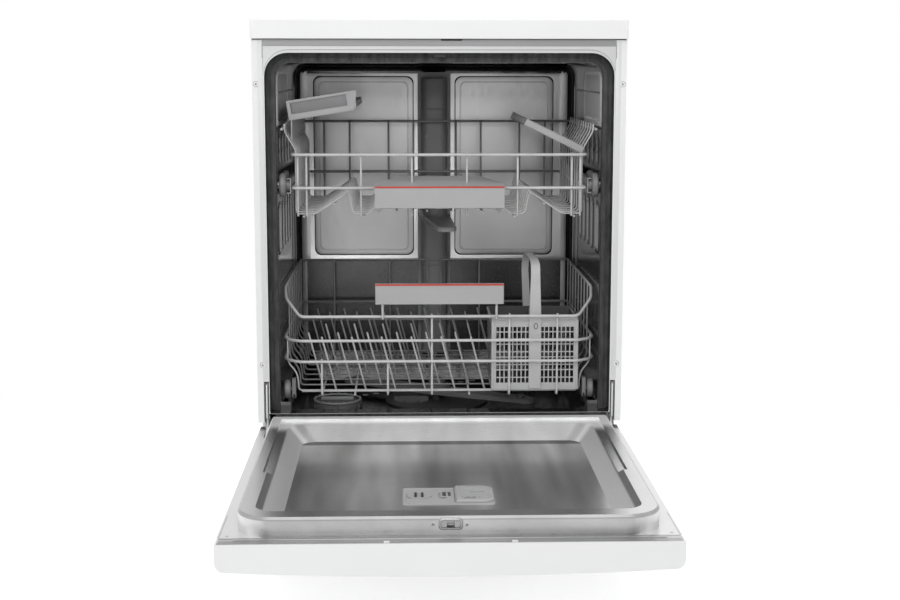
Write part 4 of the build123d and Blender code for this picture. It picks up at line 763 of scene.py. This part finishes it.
def latticeWall(shape, xs, zs, holes, place, thick, inner=0):
    # a wall cut by a grid: cells named in holes stay open, and every edge has its thickness
    def corner(i, j, k):
        key = (i, j, k)
        if key not in made:
            made[key] = shape.verts.new(place(xs[i], zs[j], k * thick))
        return made[key]

    made = {}
    solid = {(i, j) for i in range(len(xs) - 1) for j in range(len(zs) - 1)} - holes
    for i, j in solid:
        spots = ((i, j), (i + 1, j), (i + 1, j + 1), (i, j + 1))
        shape.faces.new([corner(*spot, 0) for spot in spots])
        shape.faces.new([corner(*spot, 1) for spot in spots[::-1]]).material_index = inner
        beside = ((i, j - 1), (i + 1, j), (i, j + 1), (i - 1, j))
        for a, b, near in zip(spots, spots[1:] + spots[:1], beside):
            if near not in solid:
                edge = [corner(*b, 0), corner(*a, 0), corner(*a, 1), corner(*b, 1)]
                shape.faces.new(edge).material_index = inner


def spread(start, sizes, gap):
    # cut positions for openings of the given sizes with bars between them
    cuts = [start]
    for size in sizes:
        cuts += [cuts[-1] + size, cuts[-1] + size + gap]
    return cuts[:-1]


def openCells(first, second):
    return {(i, j) for i in range(1, len(first) - 2, 2) for j in range(1, len(second) - 2, 2)}


def makeBasket(b):
    shape = bmesh.new()
    left, right, front, back, low, top, wall = (b[k] for k in ("left", "right", "front", "back", "low", "top", "wall"))
    middle = (left + right) / 2
    half = middle - 9.5 - left - 8
    size = (half - b["gap"] * (b["columns"] - 1)) / b["columns"]
    xs = [left + 0.05]
    for start in (left + 8, middle + 9.5):
        xs += spread(start, [size] * b["columns"], b["gap"])
    xs.append(right - 0.05)
    zs = [low + 0.05] + spread(low + 12, b["rows"], b["gap"]) + [top - 0.05]
    # inner faces and the edges of the cuts take the dark finish, as painted shade inside the basket
    for y, sign in ((front, 1), (back, -1)):
        latticeWall(shape, xs, zs, openCells(xs, zs), lambda x, z, d: at(x, y + sign * d, z), wall, 1)
    count = b["deepColumns"]
    deep = (back - front - 18 - b["gap"] * (count - 1)) / count
    ys = [front + 0.3] + spread(front + 9, [deep] * count, b["gap"]) + [back - 0.3]
    for x, sign in ((left, 1), (right - 0.1, -1)):
        latticeWall(shape, ys, zs, openCells(ys, zs), lambda y, z, d: at(x + sign * d, y, z), wall, 1)
    latticeWall(shape, [front + 2, back - 2], [low + 1, top - 2], set(), lambda y, z, d: at(middle - 1 + d, y, z), 2, 1)
    cell, gap = [b["floorCell"]], b["floorGap"]
    floorX = [left + 1] + spread(left + 8, cell * 16, gap) + [right - 1]
    floorY = [front + 1] + spread(front + 8, cell * 13, gap) + [back - 1]
    latticeWall(shape, floorX, floorY, openCells(floorX, floorY), lambda x, y, d: at(x, y, low + d), 2, 1)
    # rolled top rim and corner ribs
    for x0, x1, y0, y1 in ((left - 2, right, front - 2, front + 1.6), (left - 2, right, back - 1.6, back + 2),
                           (left - 2, left + 1.6, front - 2, back + 2), (right - 3, right, front - 2, back + 2)):
        softBlock(shape, x0, x1, y0, y1, top - 5, top - 1, 1.2)
    for x in (left + 2.4, right - 2.6):
        softBlock(shape, x - 2.2, x + 2.2, front - 1, front + 1, low + 1, top - 3, 0.9)
    # the strap: a flat band up the front, over and down the back, wider below the rim
    outer = [(front - 1.6, low + 3), (front - 1.6, top - 8), (front - 1.4, top + 70), (front + 0.6, top + 80),
             (front + 6, top + 87.5), (front + 15, top + 92.6), (front + 28, top + 95.4), (back - 34, top + 96),
             (back - 16, top + 92), (back - 5, top + 84), (back - 0.4, top + 74), (back + 1.4, top + 62),
             (back + 1.6, top - 8), (back + 1.6, low + 3)]
    rings = []
    for k, ((y, z), w, shift) in enumerate(zip(outer, b["strapWidths"], b["strapDrift"])):
        before = Vector(outer[max(k - 1, 0)])
        after = Vector(outer[min(k + 1, len(outer) - 1)])
        along = (after - before).normalized()
        ny, nz = along.y * 1.3, -along.x * 1.3
        rings.append([at(middle + shift + a * w, y + ny * c, z + nz * c) for a, c in
                      ((-1, -0.6), (-0.93, -1), (0.93, -1), (1, -0.6), (1, 0.6), (0.93, 1), (-0.93, 1), (-1, 0.6))])
    skin(shape, rings, cap=True, foot=True)
    # a raised ring on the strap, under the rim, in the dark painted-shade finish
    rings = [[at(middle + 1 + wide * c, front - 3.3 + sunk, top - 15 + tall * s) for c, s in circle(20)]
             for wide, tall, sunk in ((3.4, 5.4, 0.7), (3.4, 5.4, 0), (2.3, 4.2, 0), (2.3, 4.2, 0.7))]
    skin(shape, rings, slots=[1, 1, 1])
    addPiece("cutleryBasket", shape, "basket", ("basketPlastic", "shadedBasketInside"), hides=("cutlery_basket",))


makeBasket(basketForm)


def shelfPlace(side, px, pz, angle):
    c, s = math.cos(math.radians(angle)), math.sin(math.radians(angle))

    def place(x, y, z):
        return at(side * (px - x * c + z * s), y, pz + x * s + z * c)
    return place


def besideHoops(half):
    # the cuts on both sides of each hoop of the upper rack, from one end of a shelf to the other
    return [upperRack["first"] + upperRack["pitch"] * k + part for k in range(10) for part in (-half, half)]


def addKnuckles(shape, x, z, arm, radius):
    # three knuckles that turn on the rack's side wire, each with the arm that carries the shelf
    for k in (1, 5, 8):
        y = upperRack["first"] + (k + 0.5) * upperRack["pitch"]
        rings = [[at(x + r * c, y + d, z + r * s) for c, s in circle(20)]
                 for d, r in ((-4, 3.6), (-3.4, 4.4), (3.4, 4.4), (4, 3.6))]
        skin(shape, rings, cap=True, foot=True)
        addWire(shape, [(a, y, b) for a, b in arm], radius, 5, 10)


# the shelves' lengths are the same, and so are the panes of their floors
shelfCuts = [45.5] + spread(57, [67.5] * 4, 10) + [374.5]
shelfPanes = {(i, j) for i in (1, 3) for j in range(1, 9, 2)}
leftShelf = {"width": 112, "pivot": (245.35, 690), "raised": 9, "thick": 3.6, "comb": (-241.6, -239.8), "combTop": 697,
             "combLow": (652.5, 661), "rail": (-257.35, 670), "arm": ((-256, 672), (-250, 682), (-243.5, 691.5))}
rightShelf = {"width": 100, "pivot": (230.5, 635.5), "raised": 26, "thick": 3.6, "rail": (239.5, 629.5),
              "arm": ((238.5, 631), (234, 634.5), (226, 639))}


def makeLeftShelf(s):
    shape = bmesh.new()
    place = shelfPlace(-1, *s["pivot"], s["raised"])
    width = s["width"]
    latticeWall(shape, [1, 10, 52, 60, 102, width - 0.5], shelfCuts, shelfPanes, place, s["thick"])
    # front skirt: a thin top edge over a sunk band, a lower lip, and an end that tapers up to the right
    for sizes in ((0.3, width - 12, 47.6, 49, -5, 24, 0.8, 1), (6, width - 16, 45.6, 47.4, 1.6, 3, 0.3, 2),
                  (5.8, 7.4, 45.6, 47.4, 2, 21, 0.3, 2), (0, width, 45.1, 49.5, 21.6, 26, 0.9),
                  (0, width - 4, 45.1, 48, -6, 1.2, 0.9), (0, 5.6, 45.2, 48, -6, 26, 0.9),
                  (width - 1.6, width + 0.8, 45.4, 52, 8, 20, 0.5)):
        softBlock(shape, *sizes, place=place)
    wedge = [(width - 14, -5.8), (width - 14, 25), (width + 4, 25.6), (width + 3, 20), (width - 3, 2)]
    skin(shape, [[place(x, y, z) for x, z in wedge] for y in (45.3, 48.4)], cap=True, foot=True)
    # the hinge side hangs down as a toothed sheet inside the comb
    cuts = [46] + besideHoops(3.2) + [374]
    for k, ends in enumerate(zip(cuts, cuts[1:])):
        softBlock(shape, *s["comb"], *ends, s["combLow"][k % 2], s["combTop"], 0.3)
    # the rear edge, the two long edges and the thin bars under the floor
    for sizes in ((0, width, 371.6, 374.8, -1.8, 9.8), (0.1, 3.9, 45.6, 374.4, -1.8, 7.8),
                  (width - 4, width - 0.2, 45.6, 374.4, -1.8, 7.8),
                  *((x - 1, x + 1, 48, 372, -1.5, 1.5, 0.4) for x in (28, 56, 84))):
        softBlock(shape, *sizes, place=place)
    addKnuckles(shape, *s["rail"], s["arm"], 2.6)
    addPiece("leftCupShelf", shape, "shelf_left", ("shelfPlastic", "mid_grey_plastic", "dark_plastic"),
             hides=("cup_shelf_left",))


def makeRightShelf(s):
    shape = bmesh.new()
    place = shelfPlace(1, *s["pivot"], s["raised"])
    width = s["width"]
    cuts = [45.5] + besideHoops(3.4) + [374.5]
    latticeWall(shape, [0.2, 20], cuts, {(0, j) for j in range(1, len(cuts) - 1, 2)}, place, s["thick"])
    latticeWall(shape, [19.8, 24, 53, 61, 90, width - 0.5], shelfCuts, shelfPanes, place, s["thick"])
    for sizes in ((-4, width, 45.1, 48.5, -1.8, 7.8), (19.5, width, 371.6, 374.8, -1.8, 9.8),
                  (width - 4, width - 0.2, 45.6, 374.4, -1.8, 7.8), (20, 23, 45.6, 374.4, -1.2, 5)):
        softBlock(shape, *sizes, place=place)
    addKnuckles(shape, *s["rail"], s["arm"], 2.4)
    addPiece("rightCupShelf", shape, "shelf_right", ("light_grey_plastic",), hides=("cup_shelf_right",))


makeLeftShelf(leftShelf)
makeRightShelf(rightShelf)
print("handles, basket and shelves made")

# ---- door

doorForm = {"front": -593.4, "rim": -567.4, "top": 176, "half": 295, "flat": 276, "cornerX": (214, 274),
            "cornerY": -505, "hooks": (-81.4, 81.2)}


def makeDoorFlange(d):
    # the liner's sheet runs out over the fascia and is folded near its front edge; apart from one paler band it takes
    # the darker steel, as painted shade below the rim
    shape = bmesh.new()
    front, rim, top, flat = d["front"], d["rim"], d["top"], d["flat"]
    steps = ((rim, 0.2, 1), (rim - 6, 0.3, 1), (rim - 7.4, 1.2, 0), (rim - 12, 1.2, 1), (rim - 13.2, 0.5, 1),
             (front + 3, 0.35, 1), (front + 1.6, 0.9, 1), (front, 0.7, 1), (front - 0.2, 0.05, 1))
    # its ends stay flat, where the closed door meets the flange screws
    across = (-d["half"], -flat - 1, 1 - flat, flat - 1, flat + 1, d["half"])
    rows = [[shape.verts.new(at(x, y, top + (h if abs(x) < flat else 0.06))) for x in across] for y, h, slot in steps]
    for a, b, step in zip(rows, rows[1:], steps):
        for k in range(len(across) - 1):
            shape.faces.new((a[k], b[k], b[k + 1], a[k + 1])).material_index = step[2]
    for side in (-1, 1):
        line = [side * x for x in (274, 286, 298.6)]
        rows = [[shape.verts.new(at(x, y, top + 0.05)) for x in line] for y in (rim, -400, -220, -37)]
        for a, b in zip(rows, rows[1:]):
            for k in range(2):
                shape.faces.new((a[k], a[k + 1], b[k + 1], b[k])[::side]).material_index = 3
        inner, outer = d["cornerX"]
        corner = [(inner, rim), (outer, rim), (outer, d["cornerY"]), (inner, d["cornerY"])][::side]
        addFace(shape, [at(side * x, y, top + 0.05) for x, y in corner], 3)
        # thin lines along the door's sides, in the darker flange steel as painted shade
        for x0, x1, y0, y1 in ((295.4, 296.4, front, -470), (284.2, 288.4, -560, -556.8)):
            softBlock(shape, x0, x1, y0, y1, top - 0.2, top + 0.3, 0.2, 1, side)
    for x in d["hooks"]:
        softBlock(shape, x - 4, x + 4, front - 1, front + 5, top, top + 1.9, 0.5, 2)
    addPiece("linerFlange", shape, "door", ("flangeSteel", "flangeShadeSteel", "white_plastic", "sheetSteel"))
    # the sheet closes over the hinge arms beside the rim
    shape = bmesh.new()
    for side in (-1, 1):
        for sizes in ((287.6, 298.9, -36.6, 14, 174.4, 176, 0.4, 0), (277.4, 282.6, -36.6, -2.4, 174.4, 176, 0.4, 0),
                      (290.8, 298.2, 14.6, 37, 172.6, 176.8, 0.4, 1), (283.3, 285.7, 0.7, 6.4, 199, 255.6, 0.3, 2)):
            softBlock(shape, *sizes, side)
    addPiece("hingeCovers", shape, "door", ("sheetSteel", "black_rubber", "white_steel"))


def crossSlot(shape, x, y, z, reach, half, turn, slot):
    # two flat bars that cross, facing the front; the callers give them a dark finish, as painted shade of a cross
    # recess
    for angle in (turn, turn + math.pi / 2):
        c, s = math.cos(angle), math.sin(angle)
        corners = ((reach, half), (-reach, half), (-reach, -half), (reach, -half))
        addFace(shape, [at(x + a * c - b * s, y, z + a * s + b * c) for a, b in corners], slot)


def roundHead(shape, x, y, z, radius, out, turn=0.6):
    # a pan head with a cross slot, facing the front
    rings = [[at(x + radius * scale * c, y - out * depth, z + radius * scale * s) for c, s in circle(18)]
             for scale, depth in ((1, 0), (1, 0.45), (0.82, 0.8), (0.4, 0.95))]
    skin(shape, rings, cap=True)
    crossSlot(shape, x, y - out, z, radius * 0.6, radius * 0.12, turn, 1)


doorDetails = {"rimY": -567.6, "screws": ((-22.4, 193.2), (21, 192.4)), "dispenserTop": 186.5,
               "bezel": ((0, 0), (0.5, 0.7), (1, 0.9), (1.5, 0.7), (2, 0.9), (2.8, 0.9), (3.3, 0.2)),
               "plates": ((-12.8, -4.3, 187.3), (5.3, 13.8, 187.3), (-4.2, 5.2, 194.6))}


def makeDoorDetails(d):
    shape = bmesh.new()
    for x, z in d["screws"]:
        roundHead(shape, x, -568, z, 2.7, 1.2)
    # a pressed bezel round the latch opening
    rings = [[at(x, d["rimY"] - out, z) for x, z in roundLoop(-15.6 + i, 16.6 - i, 184.8 + i, 200.9 - i, 5.2 - i * 0.6)]
             for i, out in d["bezel"]]
    skin(shape, rings, slots=[1, 0, 1, 0, 0, 1])
    for x0, x1, z0 in d["plates"]:
        softBlock(shape, x0, x1, -567.1, -564.4, z0, 198.7, 0.4, 2)
    addPiece("latchScrews", shape, "door", ("flangeSteel", "dark_plastic", "dispenser_plastic"))

    # moulded marks on the dispenser: window, level grid, ribs and the seam round its body
    shape = bmesh.new()
    top = d["dispenserTop"]
    for x0, x1, y0, y1, high, slot in (
            (-9, 7.2, -425, -397, 0.5, 0), (-7, 5.2, -421, -401, 0.7, 1), (-1.5, 1, -420, -402, 1.1, 0),
            (-58, 61, -382.2, -380.8, 0.45, 0), (-58, 11, -452.4, -451, 0.45, 0), (9.2, 10.6, -450, -382, 0.5, 1)):
        softBlock(shape, x0, x1, y0, y1, top - 0.4, top + high, 0.3, slot)
    for y in (-430, -421, -412):
        for x in (-56.4, -53.8, -51.2):
            softBlock(shape, x, x + 1.4, y, y + 4, top - 0.3, top + 0.35, 0.15, 1)
    addPiece("dispenserMarks", shape, "door", ("dispenser_plastic", "dark_plastic"))

    shape = bmesh.new()
    for x in (-43.6, -34.4):
        softBlock(shape, x - 1.7, x + 1.7, -426, -407, 187.6, 188.9, 0.4)
    addPiece("rinseCapGrips", shape, "rinse_aid_cap", ("black_plastic",))

    shape = bmesh.new()
    softBlock(shape, 19, 45, -396.4, -390.6, 190, 191.4, 0.5)
    for x in (20, 28, 36, 44):
        softBlock(shape, x - 0.9, x + 0.9, -440, -436, 190, 190.9, 0.3, 1)
    softBlock(shape, 30, 52, -415, -412.4, 190, 191.1, 0.4, 1)
    for x in (16.4, 58.6):
        softBlock(shape, x - 0.8, x + 0.8, -446, -386, 190, 191, 0.4)
    addPiece("lidGrip", shape, "detergent_lid", ("dispenser_plastic", "grey_plastic"))


makeDoorFlange(doorForm)
makeDoorDetails(doorDetails)

# ---- basin, back and front of the cabinet

basinForm = {"armY": 255, "ribR": 13.6, "ribs": 6, "armTurn": 31.7, "nozzles": (52, 78, 104, 128, 150),
             "hub": ((23, 199.1), (23, 201), (21.4, 202.4), (15.4, 203.2), (14.4, 204.4), (14, 211), (12.8, 212.6),
                     (5, 213), (4, 211.6)),
             "nozzle": ((3.4, 199.1), (3, 200.1), (1.9, 200.1), (1.7, 199.3)), "nozzleStretch": 1.7,
             "capX": -178, "capY": 208, "gripR": 40.6, "grips": 20,
             "cap": ((42.8, 184.6), (42.6, 186.4), (40.8, 187), (38.6, 186.2), (38.4, 184.8))}


def makeBasinDetails(b):
    # the lower arm's hub and nozzles, and the salt cap's grip
    shape = bmesh.new()
    middle = b["armY"]
    skin(shape, [[at(r * c, middle + r * s, z) for c, s in circle(28)] for r, z in b["hub"]], cap=True)
    for c, s in circle(b["ribs"]):
        x, y = b["ribR"] * c, middle + b["ribR"] * s
        softBlock(shape, x - 1.2, x + 1.2, y - 1.2, y + 1.2, 203, 210.5, 0.4)
    along = math.radians(b["armTurn"])
    for side in (-1, 1):
        for reach in b["nozzles"]:
            x, y = side * reach * math.cos(along), middle + side * reach * math.sin(along)
            # the nozzle's inner rings are black, as painted shade in its opening
            rings = [[at(x + r * b["nozzleStretch"] * c, y + r * s, z) for c, s in circle(14)] for r, z in b["nozzle"]]
            skin(shape, rings, slots=[0, 0, 1, 1], cap=True)
    addPiece("lowerArmHub", shape, "lower_arm", ("wheelPlastic", "black_plastic"))

    shape = bmesh.new()
    x0, y0 = b["capX"], b["capY"]
    skin(shape, [[at(x0 + r * c, y0 + r * s, z) for c, s in circle(40)] for r, z in b["cap"]])
    for c, s in circle(b["grips"]):
        x, y = x0 + b["gripR"] * c, y0 + b["gripR"] * s
        softBlock(shape, x - 1.3, x + 1.3, y - 1.3, y + 1.3, 186, 187.8, 0.4)
    softBlock(shape, x0 - 29, x0 + 29, y0 - 5, y0 + 5, 184.6, 190, 1.6)
    addPiece("saltCapGrip", shape, "salt_cap", ("light_grey_plastic",))


backForm = {"plane": 559, "corner": 18, "step": ((0, -0.3), (2, 0.7), (6, 0.9), (8, 0.1)),
            "fields": ((-262, 262, 640, 770), (-262, -20, 300, 600), (20, 262, 300, 600), (-262, 262, 160, 262)),
            "screwsX": (-288, -144, 0, 144, 288), "screwsZ": (122, 803),
            "screw": ((4.4, -0.2), (4.2, 0.7), (3.2, 1), (1.6, 1), (1.4, 0.3))}


def makeBackDetails(b):
    # pressings and fixing screws on the rear panel
    shape = bmesh.new()
    plane = b["plane"]
    for x0, x1, z0, z1 in b["fields"]:
        rings = [[at(x, plane + out, z) for x, z in roundLoop(x0 + i, x1 - i, z0 + i, z1 - i, b["corner"] - i)]
                 for i, out in b["step"]]
        skin(shape, rings, cap=True)
    for x in b["screwsX"]:
        for z in b["screwsZ"]:
            rings = [[at(x + r * c, plane + out, z + r * s) for c, s in circle(16)] for r, out in b["screw"]]
            skin(shape, rings, slots=[1] * 5, cap=True)
    addPiece("rearPressings", shape, "cabinet", ("galvanised", "zinc"))


cabinetForm = {"slotTop": 259.6, "slotFoot": (198, 193), "screws": ((292.7, 743.5), (290, 288.4)), "screwY": -1.63,
               "screwRing": ((4.7, -0.1), (4.6, 0.25), (4.1, 0.3), (3.9, 0.1))}


def makeCabinetDetails(c):
    shape = bmesh.new()
    inner, outer = c["slotFoot"]
    for side in (-1, 1):
        # a darker white strip down the flange's fold as painted shade, and a thin grey strip beside it at the top
        softBlock(shape, 282.4, 289.8, -0.5, 0.4, 262, 811, 0.45, 0, side)
        softBlock(shape, 281.6, 282.8, -0.3, 0.4, 784, 812, 0.15, 1, side)
        # the slot that the hinge arm swings in, drawn as black strips that stand in for the shade inside it
        softBlock(shape, 280.3, 282.5, -0.1, 1.3, inner, c["slotTop"], 0.2, 2, side)
        softBlock(shape, 286.7, 288.8, 0.3, 1.3, outer, c["slotTop"], 0.2, 2, side)
        softBlock(shape, 280.3, 288.8, -0.1, 1.3, c["slotTop"] - 1.4, c["slotTop"] + 1.4, 0.2, 2, side)
        for x, z in c["screws"]:
            rings = [[at(side * (x + r * a), -out, z + r * b) for a, b in circle(24)] for r, out in c["screwRing"]]
            skin(shape, rings, slots=[1] * 4)
            crossSlot(shape, side * x, c["screwY"], z, 2.3, 0.45, 0.5, 2)
    addPiece("flangeFolds", shape, "cabinet", ("foldShadeWhite", "greySteelAndShade", "black_rubber"))
    shape = bmesh.new()
    softBlock(shape, 2, 35, -1.2, 0.6, 811.8, 814.8, 0.3)
    # a thin black strip the worktop's width, as a painted shadow line under the worktop
    softBlock(shape, -297, 297, -0.6, 0.4, 814.1, 815, 0.2)
    addPiece("lockOpeningAndShadowLine", shape, "cabinet", ("black_plastic",))


makeBasinDetails(basinForm)
makeBackDetails(backForm)
makeCabinetDetails(cabinetForm)

softened = {"worktop": 2.2, "upper_rack_handle": 0.9, "lower_rack_handle": 0.9, "plinth": 0.8, "door_outer_panel": 1.2}
for name, width in softened.items():
    weld = nodes[name].modifiers.new("join", "WELD")
    weld.merge_threshold = 0.00002
    bevel = nodes[name].modifiers.new("soften", "BEVEL")
    bevel.width = width / 1000
    bevel.segments = 3
    bevel.limit_method = "ANGLE"
    bevel.angle_limit = math.radians(48)
print("door and cabinet details made")
